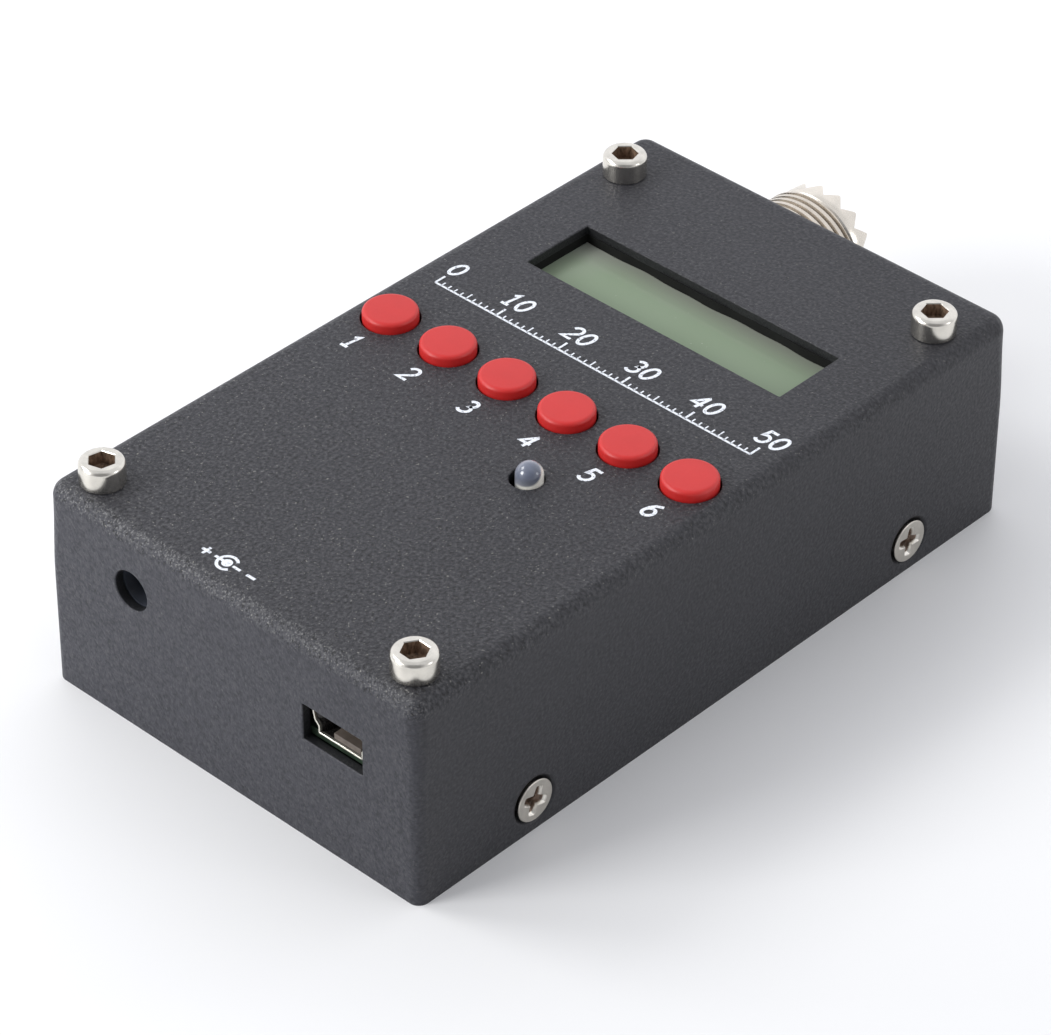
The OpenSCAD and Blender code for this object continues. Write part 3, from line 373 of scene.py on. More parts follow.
def powder_coat():
    """Charcoal powder coat: rounded pebbles, dark pits and pale specks, with painted light and shade.

    The grain's pale and dark tones are strongest on the front of the top and fade to the rear and on the
    sides, which partly paints the sheen of the pebbles where the light grazes the front of the top. The front
    face is painted lighter and bluer, and the coat is painted darker towards +X. The walls of the openings
    and a ring round each side screw are painted as shade, and pale specks on the rounded front edge are
    painted glints.
    """
    f = Finish("powder_coat")
    half_w, half_l = CASE_W / 2, CASE_L / 2
    opening_x, opening_y, opening_low, opening_high = 26.8, 48, 2, 25.5
    skin, wall = 0.2, 1.4
    pebbles = f.noise(2300, 2, 0.55)
    grains = f.noise(5200, 2, 0.6)
    cloud = f.noise(60, 3, 0.55)
    x, y, z = f.axis(0), f.axis(1), f.axis(2)
    # grain sets how strongly the pebbles' tones and the pale specks show: real grain, made strongest on the
    # front of the top as a painted sheen where the light grazes
    upper = f.ramp(z, (CASE_H - 2.3) * MM, (CASE_H - 0.9) * MM)
    along = f.ramp(y, -half_l * MM, half_l * MM, 1.0, 0.45)
    grain = f.maths("ADD", f.times(upper, along), f.ramp(upper, 0, 1, 0.3, 0.0))
    front = f.ramp(y, -(half_l - wall) * MM, -(half_l - skin) * MM)
    grain = f.maths("ADD", grain, f.times(front, 0.16))
    tone = f.mix(f.ramp(cloud, 0.3, 0.7), linear(44, 44, 49), linear(49, 49, 54))
    # painted light: the front face is tinted lighter and bluer than the top and the sides
    tone = f.tint(tone, front, 0.3, 64, 66, 78)
    tone = f.tint(tone, f.ramp(pebbles, 0.5, 0.68), grain, 74, 74, 77)
    tone = f.tint(tone, f.ramp(pebbles, 0.46, 0.32), grain, 24, 24, 27)
    tone = f.tint(tone, f.ramp(f.noise(2600, 1, 0.5, w=8.1), 0.33, 0.28), 0.6, 22, 22, 25)
    specks = f.ramp(f.noise(3300, 1, 0.5, w=3.7), 0.68, 0.74)
    tone = f.tint(tone, specks, f.ramp(grain, 0.3, 1.0, 0.06, 0.6), 165, 163, 156)
    # painted glints: pale specks on the rounded top-front edge where it catches the light, fading towards +X
    ridge = f.times(f.between(y, 0.4 - half_l, 1.3 - half_l, 0.9),
                    f.between(z, CASE_H - 1.5, CASE_H + 1, 0.7))
    glints = f.times(f.ramp(f.noise(4300, 1, 0.5, w=5.9), 0.55, 0.64), ridge)
    tone = f.tint(tone, glints, f.ramp(x, -12 * MM, 24 * MM, 0.27, 0.2), 172, 172, 170)
    # painted shade: the walls of the openings in the top and the cut ends of the front and rear walls are
    # darkened
    level = f.between(z, CASE_H - 1.35, CASE_H - skin, 0.06)
    across = f.between(x, -opening_x, opening_x)
    inner = f.times(across, f.between(y, -opening_y, opening_y))
    ends = f.times(across, f.between(z, opening_low, opening_high))
    thick = f.between(f.maths("ABSOLUTE", y), half_l - wall, half_l - skin, 0.06)
    cut = f.maths("ADD", f.times(level, inner), f.times(ends, thick), clamp=True)
    tone = f.tint(tone, cut, 0.9, 17, 18, 21)
    # painted shade: the whole coat darkens towards +X, the side away from the lights
    tone = f.mix(f.ramp(x, -half_w * MM, half_w * MM, 0.0, 0.19), tone, linear(0, 0, 0))
    # painted shade: a dark ring round each side screw, its centre set a little up and towards the front of
    # the screw's axis
    below = f.ramp(z, 12 * MM, 11 * MM)
    for side in (SIDE_SCREW_FRONT, SIDE_SCREW_REAR):
        dip = f.away((0, side - 0.28, SIDE_SCREW_Z + 0.33), (0, 1, 1))
        tone = f.tint(tone, f.ramp(dip, 2.95 * MM, 3.45 * MM, 0.7, 0.0), below, 16, 16, 19)
    height = f.maths("ADD", f.times(pebbles, 0.75), f.times(grains, 0.25))
    return f.done(f.principled(
        Base_Color=tone, Roughness=f.ramp(pebbles, 0.3, 0.7, 0.58, 0.44), Specular_IOR_Level=0.42,
        Normal=f.bump(height, f.ramp(grain, 0.0, 1.0, 0.05, 0.9), 0.0003)))


def nickel(name, colour, rough=0.15, scratch=0.12, dark=(80, 66, 56)):
    """Plated metal: faint scratches and slow waviness, with painted shade in brown in its recesses and
    painted highlights on its edges.

    The mesh says where those two are, by its values "deep" and "bright"; dark is the colour of the painted
    shade.
    """
    f = Finish(name)
    fine = f.noise(9000, 2, 0.6, where=f.stretch(1, 1, 0.15))
    slow = f.noise(700, 2, 0.5)
    rough_at = f.maths("ADD", rough, f.times(fine, scratch))
    tone = f.mix(f.ramp(slow, 0.3, 0.7), linear(*colour), linear(*[v * 0.93 for v in colour]))
    deep, bright = (f.node("ShaderNodeAttribute", 2, attribute_name=value) for value in ("deep", "bright"))
    streak = f.ramp(f.noise(2600, 3, 0.6, where=f.stretch(1, 1, 0.4)), 0.35, 0.65)
    # painted shade: streaked brown for the recesses (deep); painted highlight: near white for the edges
    # (bright)
    brown = f.mix(streak, linear(*dark), linear(*[v * 1.6 for v in dark]))
    tone = f.mix(deep, f.mix(bright, tone, linear(255, 252, 244)), brown)
    normal = f.bump(slow, 0.12, 0.0001, f.bump(fine, 0.12, 0.00002))
    return f.done(f.principled(Base_Color=tone, Metallic=f.ramp(deep, 0, 1, 1.0, 0.3),
                               Roughness=rough_at, Normal=normal))


def plastic(name, colour, shade=0.85, rough=0.4, grain=0.1, scale=3000, specular=0.5, soft=0.0):
    """Moulded plastic: two close tones in clouds, over a fine moulded grain."""
    f = Finish(name)
    cloud = f.noise(250, 3, 0.6)
    grains = f.noise(scale, 3, 0.6)
    tone = f.mix(f.ramp(cloud, 0.3, 0.7), linear(*colour), linear(*[v * shade for v in colour]))
    given = {"Base_Color": tone, "Roughness": f.ramp(grains, 0.2, 0.8, rough - 0.05, rough + 0.05),
             "Specular_IOR_Level": specular, "Normal": f.bump(grains, grain, 0.00006)}
    if soft:
        given.update(Subsurface_Weight=soft, Subsurface_Radius=(0.0012, 0.0003, 0.0002),
                     Subsurface_Scale=1.0)
    return f.done(f.principled(**given))


def liquid_crystal(display):
    """The cell under its glass: grey-green, painted greyer along the rear wall and at the left, as painted
    shade and reflection of the window's walls.
    """
    f = Finish("liquid_crystal")
    x, y = f.axis(0), f.axis(1)
    rear = (display.y + display.length / 2) / MM
    left = -display.width / 2 / MM
    slant = 0.6
    # painted shade and reflection: greyer along the rear wall and at the left corner
    shade = f.ramp(f.maths("ADD", y, f.times(f.noise(70, 2, 0.5), 0.0012)),
                   (rear - 3.2) * MM, (rear + 0.9) * MM)
    corner = f.ramp(f.maths("ADD", x, f.times(y, -slant)),
                    (left - slant * rear - 1) * MM, (left - slant * rear + 9) * MM, 1.0, 0.0)
    cloud = f.ramp(f.noise(60, 2, 0.5), 0.3, 0.7)
    tone = f.mix(cloud, linear(120, 138, 110), linear(123, 140, 114))
    tone = f.tint(tone, shade, 0.62, 152, 148, 146)
    tone = f.tint(tone, corner, 0.55, 146, 146, 142)
    tone = f.tint(tone, f.ramp(f.noise(2200, 1, 0.5, w=1.3), 0.74, 0.78), 0.4, 190, 195, 185)
    return f.done(f.principled(Base_Color=tone, Roughness=0.42, Specular_IOR_Level=0.4,
                               Coat_Weight=0.25, Coat_Roughness=0.08))


def milky_lens(lamp):
    """Cast lens: blue-grey body, a pale rim painted as reflection, paler towards the bottom, and a white
    crescent of painted light, as if focused through the lens, outside a circle shifted to the light.
    """
    f = Finish("milky_lens")
    moved = f.less((lamp.x, lamp.y, lamp.dome_z))
    across, upward = f.dot(moved, (0.73, 0.68, 0.0)), f.dot(moved, (-0.42, 0.45, 0.78))
    r = lamp.radius

    def radius_from(u, v):
        squares = [f.maths("POWER", f.maths("ADD", axis, shift * r), 2.0)
                   for axis, shift in ((across, u), (upward, v))]
        return f.maths("SQRT", f.maths("ADD", *squares))
    cloud = f.ramp(f.noise(900, 2, 0.5), 0.3, 0.7)
    tone = f.mix(cloud, linear(90, 97, 115), linear(100, 106, 124))
    # painted reflection: a pale rim round the dome's outline
    rim = f.ramp(radius_from(0.0, 0.0), 0.72 * r, 1.0 * r)
    tone = f.tint(tone, rim, 0.7, 138, 141, 152)
    tone = f.tint(tone, f.ramp(upward, -0.25 * r, -0.85 * r), 0.6, 150, 151, 154)
    # painted light: a white crescent on the lower side facing away from the key light
    crescent = f.ramp(radius_from(0.2, -0.14), 0.93 * r, 1.06 * r)
    side = f.ramp(f.maths("SUBTRACT", across, upward), -0.5 * r, 0.6 * r)
    tone = f.tint(tone, crescent, side, 255, 252, 240)
    return f.done(f.principled(Base_Color=tone, Roughness=0.3, Specular_IOR_Level=0.5, Coat_Weight=1.0,
                               Coat_Roughness=0.03, Subsurface_Weight=0.15,
                               Subsurface_Radius=(0.0004, 0.0004, 0.0004), Subsurface_Scale=1.0))


def white_ink():
    """Screen print: bluish white, broken where the coat's pebbles stand through it."""
    f = Finish("white_ink")
    broken = f.ramp(f.noise(2900, 2, 0.6), 0.56, 0.66)
    tone = f.tint(linear(232, 236, 243), broken, 0.75, 120, 122, 128)
    return f.done(f.principled(Base_Color=tone, Roughness=0.55, Specular_IOR_Level=0.35,
                               Normal=f.bump(f.noise(1900, 2, 0.55), 0.4, 0.0002)))


def green_board():
    """Solder resist over laminate: tracks seen through the resist, and a pale yellow cut edge."""
    f = Finish("green_board")
    weave = f.noise(900, 2, 0.5, where=f.stretch(1, 0.2, 1))
    tracks = f.ramp(f.noise(420, 0, 0.0, where=f.stretch(1, 0.35, 1)), 0.49, 0.51)
    tone = f.tint(linear(34, 46, 36), tracks, 0.6, 52, 68, 54)
    tone = f.tint(tone, weave, 0.35, 66, 82, 66)
    return f.done(f.principled(Base_Color=tone, Roughness=0.34, Specular_IOR_Level=0.5,
                               Normal=f.bump(weave, 0.15, 0.00005)))


def finishes():
    """Every finish by the name that the pieces use."""
    return {
        "coat": powder_coat(),
        "nickel": nickel("bright_nickel", (224, 220, 211), dark=(98, 82, 69)),
        "dull": nickel("dull_nickel", (208, 203, 194), 0.24, 0.2),
        "zinc": nickel("zinc_plate", (178, 180, 184), 0.28, 0.2),
        "tin": nickel("tinned_sheet", (224, 221, 210), 0.2, 0.12, (30, 29, 28)),
        "gold": nickel("gold_flash", (224, 184, 98), 0.24, 0.14),
        "key": plastic("satin_red", (201, 38, 36), 0.97, 0.42, 0.05, 2500, 0.5, 0.15),
        "black": plastic("moulded_black", (26, 26, 28), 0.8, 0.45, 0.15),
        "socket_black": plastic("socket_black", (60, 64, 74), 0.85, 0.5, 0.1),
        "core": plastic("brown_core", (124, 113, 104), 0.6, 0.5, 0.3, 1200, 0.4),
        # the barrel's nickel: the mesh paints shade in its grooves and a highlight on its neck
        "worn": nickel("worn_nickel", (222, 213, 200), 0.2, 0.14, (76, 66, 55)),
        "foam": plastic("closed_foam", (27, 28, 26), 0.7, 0.85, 0.5, 5000, 0.2),
        "board": green_board(),
        "white": plastic("natural_nylon", (226, 222, 208), 0.95, 0.45, 0.08, 2500, 0.5),
        "lead": plastic("red_insulation", (176, 28, 22), 0.9, 0.35, 0.05),
        "film": plastic("blue_film", (38, 62, 128), 0.85, 0.25, 0.1, 900),
        "ferrite": plastic("ferrite", (58, 57, 56), 0.8, 0.6, 0.5, 4000, 0.4),
        "ink": white_ink(),
    }


# filled by the finishes operator
F = {}

NODE_FINISH = {
    "coat": ["cover", "base_tray"],
    "zinc": ["posts", "board_screws", "display_screws", "switch_plates", "switch_domes", "power_frame",
             "capacitors", "crystal"],
    "nickel": ["top_screws", "socket_flange", "socket_barrel", "supply_pin"],
    "dull": ["side_screws", "socket_screws", "power_screws"],
    "tin": ["usb_shell", "lamp_legs", "power_terminals"],
    "gold": ["socket_contact", "usb_contacts", "display_pins"],
    "key": [f"key_cap_{i}" for i in range(1, 7)],
    "black": [f"plunger_{i}" for i in range(1, 7)]
    + ["switch_cases", "power_body", "power_lever", "display_header", "display_frame", "processor",
       "signal_chip"],
    "socket_black": ["supply_socket"],
    "core": ["usb_tongue"],
    "foam": ["display_foam", "battery_pad"],
    "board": ["main_board", "display_board"],
    "white": ["socket_insulator", "display_spacers", "battery_plug", "battery_header",
              "display_backlight", "display_glass", "lamp_lens"],
    "lead": ["socket_lead", "power_leads", "battery_leads"],
    "film": ["battery_pack"],
    "ferrite": ["bridge_core"],
}


# ---------------------------------------------------------------- sizes on show

def length(name, text, value):
    """A length on show: given in millimetres, kept in metres."""
    return FloatProperty(name=name, description=text, default=value * MM, unit="LENGTH", precision=5)


class Millimetres:
    """Reads a group's lengths in millimetres."""

    def __init__(self, group):
        self.group = group

    def __getattr__(self, name):
        value = getattr(self.group, name)
        return value if isinstance(value, int) else value / MM


def four_lengths(name, text, values):
    """Four lengths, one for each upright edge: front left, front right, rear right and rear left."""
    return FloatVectorProperty(name=name, description=text, size=4, default=[v * MM for v in values],
                               unit="LENGTH", precision=5)


class CoverSizes(bpy.types.PropertyGroup):
    width: length("Width", "Width of the cover", CASE_W)
    length: length("Length", "Length of the cover", CASE_L)
    height: length("Height", "Height of the cover", CASE_H)
    wall: length("Wall", "Thickness of the cover", WALL)
    edge: length("Edge", "Radius of the rounded upper edges", 1.9)
    low: four_lengths("Upright edges", "Radii of the upright edges at the foot", (1.5, 1.4, 1.8, 1.7))
    high: four_lengths("Shoulders", "Radii of the upright edges below the upper edges",
                       (2.35, 1.9, 2.6, 2.0))
    crown: length("Crown", "Corner radius that is left on the flat top", 0.15)
    rise: length("Rise", "Height over which the upright edges grow rounder", 11.0)
    inner: length("Inner edge", "Radius of the upright edges inside", 0.8)
    rim: length("Rim", "Radius of the coated rims of the openings", 0.18)
    key_rim: length("Key rim", "Radius of the coated rims of the key holes", 0.1)
    key_gap: length("Key gap", "Gap round each key", 0.22)
    post_hole: length("Post hole", "Radius of the holes for the top screws", 1.7)
    lamp_x: length("Lamp hole place", "Place of the lamp's hole across the case", 9.72)
    lamp_hole: length("Lamp hole", "Radius of the lamp's hole", 2.1)
    supply_x: length("Supply place", "Place of the supply hole across the case", -15.6)
    supply_z: length("Supply height", "Height of the supply hole", 19.95)
    supply_hole: length("Supply hole", "Radius of the supply hole", 2.6)
    barrel_hole: length("Barrel hole", "Radius of the hole for the antenna socket's barrel", 8.14)
    flange_span: length("Flange holes", "Distance of the flange's four holes from the barrel's axis", 8.6)
    flange_hole: length("Flange hole", "Radius of the flange's holes", 1.7)
    switch_x: length("Switch place", "Place of the power switch across the case", 13.5)
    switch_w: length("Switch width", "Width of the power switch's opening", 8.2)
    switch_h: length("Switch height", "Height of the power switch's opening", 3.2)
    switch_span: length("Switch holes", "Distance of the switch's two holes from its middle", 9.0)
    switch_hole: length("Switch hole", "Radius of the switch's holes", 1.2)
    usb_x: length("USB place", "Place of the USB opening across the case", 16.4)
    usb_z: length("USB height", "Height of the USB opening's centre", 16.7)
    usb_w: length("USB width", "Width of the USB opening", 9.2)
    usb_h: length("USB opening", "Height of the USB opening", 5.0)
    dish: length("Dish", "Radius of the dish pressed round each side screw", 3.45)
    dish_deep: length("Dish depth", "Depth of that dish", 0.3)
    seat: length("Seat", "Radius of the side screws' seat at the dish", 2.98)


class KeySizes(bpy.types.PropertyGroup):
    count: IntProperty(name="Keys", description="Number of keys in the row", default=6)
    pitch: length("Pitch", "Distance between neighbouring keys", 9.5)
    row_y: length("Row", "Place of the key row along the case", -0.6)
    radius: length("Radius", "Radius of a key cap", 3.42)
    height: length("Height", "Height of a key cap", 5.4)
    rise: length("Rise", "How far the caps stand above the case", 1.3)
    edge: length("Edge", "Radius of the rounded top edge", 0.5)
    skirt: length("Skirt", "Thickness of the hollow skirt", 0.8)
    roof: length("Roof", "Thickness of the cap's roof", 1.2)
    boss: length("Boss", "Outer radius of the boss that takes the plunger", 2.45)
    stem: length("Stem hole", "Radius of the hole for the plunger", 1.78)


class TopScrewSizes(bpy.types.PropertyGroup):
    x: length("Place across", "Distance of the screws from the centre line", 24.65)
    front_y: length("Front place", "Place of the front screws along the case", -46.0)
    rear_y: length("Rear place", "Place of the rear screws along the case", 41.6)
    radius: length("Head radius", "Radius of the socket heads", 2.75)
    height: length("Head height", "Height of the socket heads", 3.0)
    edge: length("Edge", "Radius of the rounded upper edge", 0.64)
    flats: length("Flats", "Width across flats of the hexagon", 2.9)
    mouth: length("Mouth", "Width across flats of the bevelled mouth", 3.08)
    depth: length("Depth", "Depth of the hexagon", 1.7)
    shank: length("Shank", "Radius of the screw below the head", 1.5)
    reach: length("Reach", "Length of the screw below the head", 6.0)


class SideScrewSizes(bpy.types.PropertyGroup):
    z: length("Height", "Height of the screws above the underside", SIDE_SCREW_Z)
    front_y: length("Front place", "Place of the front screws along the case", SIDE_SCREW_FRONT)
    rear_y: length("Rear place", "Place of the rear screws along the case", SIDE_SCREW_REAR)
    radius: length("Head radius", "Radius of the countersunk heads", 2.75)
    rise: length("Rise", "How far the heads stand out of the case", 0.15)
    arm: length("Arm", "Length of one arm of the cross", 1.95)
    arm_width: length("Arm width", "Width of an arm of the cross", 1.45)
    depth: length("Depth", "Depth of the cross", 1.3)
    shank: length("Shank", "Radius of the screw below the head", 1.5)
    reach: length("Reach", "Length of the screw below the face of the case", 5.3)


class DisplaySizes(bpy.types.PropertyGroup):
    y: length("Place", "Place of the window's centre along the case", 24.5)
    width: length("Width", "Width of the window", 40.1)
    length: length("Length", "Length of the window", 10.7)
    lap: length("Lap", "How far the glass reaches past the window", 2.4)
    top: length("Top", "Height of the glass's upper face", 25.9)
    glass: length("Glass", "Thickness of the glass", 2.2)
    foam: length("Foam", "Thickness of the foam over the glass", 1.2)
    foam_lap: length("Foam lap", "How far the foam reaches past the window", 2.85)
    wave: length("Wave", "How far the foam's rear edge waves into the window", 0.35)


class LampSizes(bpy.types.PropertyGroup):
    x: length("Place across", "Place of the lamp across the case", 10.09)
    y: length("Place", "Place of the lamp along the case", -12.57)
    radius: length("Radius", "Radius of the lens", 1.68)
    rim: length("Rim", "Radius of the lens's rim", 1.98)
    low_z: length("Foot", "Height of the rim's underside", 25.3)
    dome_z: length("Dome", "Height of the dome's centre", 29.0)


class UsbSizes(bpy.types.PropertyGroup):
    x: length("Place across", "Place of the receptacle across the case", 16.58)
    front_y: length("Front", "Place of the receptacle's mouth", -49.6)
    low: length("Lower width", "Half the width of the mouth at the board", 3.5)
    high: length("Upper width", "Half the width of the mouth above", 4.43)
    knee: length("Knee", "Height where the mouth starts to widen", 1.05)
    shoulder: length("Shoulder", "Height where the steep step ends", 1.65)
    step: length("Step", "How far the steep step widens the mouth", 0.62)
    top: length("Top", "Height of the mouth's top", 3.9)
    sheet: length("Sheet", "Thickness of the shell", 0.3)
    depth: length("Depth", "Length of the shell", 8.45)
    body_low: length("Lower body", "Half the width of the shell's body at the board", 3.15)
    body_high: length("Upper body", "Half the width of the shell's body above", 3.85)
    core_w: length("Core width", "Width of the moulded core's tongue", 4.2)
    core_x: length("Core place", "Place of the tongue's middle across the case", 17.4)
    core_back: length("Core", "How far the tongue stands behind the mouth", 0.3)
    core_t: length("Core thickness", "Thickness of the tongue", 0.8)
    root_w: length("Root width", "Width of the core's thick root", 5.4)
    root_l: length("Root length", "Length of the core's thick root", 3.0)
    root_h: length("Root height", "Height of the core's thick root", 2.9)


class SocketSizes(bpy.types.PropertyGroup):
    x: length("Place across", "Place of the socket across the case", -10.4)
    z: length("Height", "Height of the socket's axis", 14.15)
    out: length("Out", "How far the barrel stands out of the case", 13.5)
    crest: length("Crest", "Radius of the thread's crests", 7.94)
    root: length("Root", "Radius of the thread's roots", 7.32)
    pitch: length("Pitch", "Advance of the thread in one turn", 1.058)
    relief: length("Relief", "Length of the plain root outside the case", 2.0)
    neck: length("Neck", "Length of the plain neck behind the teeth", 1.3)
    crown: length("Crown", "Radius of the toothed rim", 7.65)
    tooth: length("Tooth", "Depth of the teeth", 1.5)
    tooth_half: length("Tooth half", "Half the width of the gap between two teeth", 1.38)
    teeth: IntProperty(name="Teeth", description="Number of teeth round the rim", default=16)
    turn: FloatProperty(name="Turn", description="Turn of the teeth about the axis", default=0.0637,
                        subtype="ANGLE")
    bore: length("Bore", "Radius of the barrel's bore", 5.6)


class PrintSizes(bpy.types.PropertyGroup):
    numeral: length("Numerals", "Height of the numerals by the keys", 2.5)
    stroke: length("Stroke", "Width of the strokes", 0.44)
    film: length("Film", "Thickness of the ink", 0.02)
    row_y: length("Row", "Place of the numerals' feet along the case", -8.5)
    scale_y: length("Scale", "Place of the scale's line along the case", 8.3)
    scale_half: length("Scale half", "Half the length of the scale", 25.0)
    sign_x: length("Sign across", "Place of the polarity sign's middle across the case", -3.57)
    sign_y: length("Sign", "Place of the polarity sign's middle along the case", -46.8)


class StageSettings(bpy.types.PropertyGroup):
    key_watts: FloatProperty(name="Key light", description="Power of the key light", default=5.4,
                             unit="POWER")
    left_watts: FloatProperty(name="Left light", description="Power of the left light", default=2.3,
                              unit="POWER")
    rear_watts: FloatProperty(name="Rear light", description="Power of the rear light", default=0.85,
                              unit="POWER")
    sky: FloatProperty(name="Sky", description="Strength of the even light from all sides", default=0.87)
    backdrop: FloatProperty(name="Backdrop", description="Strength of the pale backdrop behind the case",
                            default=0.3)
    floor_colour: FloatVectorProperty(name="Floor", description="Colour of the floor", size=3,
                                      subtype="COLOR", default=(0.868, 0.868, 0.868))


class AnalyzerSettings(bpy.types.PropertyGroup):
    cover: PointerProperty(type=CoverSizes, name="Cover", description="Sizes of the cover")
    keys: PointerProperty(type=KeySizes, name="Keys", description="Sizes of the key caps")
    top_screws: PointerProperty(type=TopScrewSizes, name="Top screws",
                                description="Sizes of the top screws")
    side_screws: PointerProperty(type=SideScrewSizes, name="Side screws",
                                 description="Sizes of the side screws")
    display: PointerProperty(type=DisplaySizes, name="Display", description="Sizes of the display")
    lamp: PointerProperty(type=LampSizes, name="Lamp", description="Sizes of the lamp")
    usb: PointerProperty(type=UsbSizes, name="USB", description="Sizes of the USB receptacle")
    socket: PointerProperty(type=SocketSizes, name="Socket", description="Sizes of the antenna socket")
    prints: PointerProperty(type=PrintSizes, name="Prints", description="Sizes of the printed marks")
    stage: PointerProperty(type=StageSettings, name="Stage", description="Light, floor and camera")


# ---------------------------------------------------------------- pieces

def mark(made, inside, name="deep"):
    """Gives the mesh a value from 0 to 1 for its finish, worked out from (x, y, z) in millimetres."""
    mesh = made.data
    places = np.empty(len(mesh.vertices) * 3)
    mesh.vertices.foreach_get("co", places)
    values = inside(places.reshape(-1, 3) / MM).astype(np.float32)
    mesh.attributes.new(name, "FLOAT", "POINT").data.foreach_set("value", values)


def corner_loop(half_x, half_y, radii, guard, steps=10):
    """The cover's outline at one height: per corner a guard point, an arc and another guard point.

    The guard points lie a little past the arc's ends, so that the flat sides keep flat normals.
    """
    loop = []
    for (sx, sy, start), r in zip(((-1, -1, 180), (1, -1, 270), (1, 1, 0), (-1, 1, 90)), radii):
        a = np.radians(np.linspace(start, start + 90, steps + 1))
        arc_points = np.c_[sx * (half_x - r) + r * np.cos(a), sy * (half_y - r) + r * np.sin(a)]
        first, last = (np.array([-math.sin(t), math.cos(t)]) * guard for t in (a[0], a[-1]))
        loop += [arc_points[0] - first, *arc_points, arc_points[-1] + last]
    return np.array(loop)


def cover_openings(s, keys, screws, side, lamp, display, socket):
    """The openings of each side of the cover, seen from outside: outlines and their rims' radii."""
    holes = [circle((i - (keys.count - 1) / 2) * keys.pitch, keys.row_y, keys.radius + s.key_gap, 64)
             for i in range(keys.count)]
    top = [circle(x, y, s.post_hole) for x in (-screws.x, screws.x) for y in (screws.front_y, screws.rear_y)]
    top += [circle(s.lamp_x, lamp.y, s.lamp_hole), oblong(0, display.y, display.width, display.length)]
    front = [circle(s.supply_x, s.supply_z, s.supply_hole), oblong(s.usb_x, s.usb_z, s.usb_w, s.usb_h)]
    rear = [circle(-socket.x, socket.z, s.barrel_hole, 80),
            oblong(-s.switch_x, socket.z, s.switch_w, s.switch_h)]
    corners = (-s.flange_span, s.flange_span)
    rear += [circle(-socket.x + x, socket.z + z, s.flange_hole) for x in corners for z in corners]
    rear += [circle(-s.switch_x + x, socket.z, s.switch_hole, 32) for x in (-s.switch_span, s.switch_span)]
    flanks = [[circle(sign * y, side.z, s.dish, 64) for y in (side.front_y, side.rear_y)] for sign in (1, -1)]
    sides = [[(outline, s.rim) for outline in part] for part in (top, front, flanks[0], rear, flanks[1])]
    sides[0] += [(outline, s.key_rim) for outline in holes]
    return sides


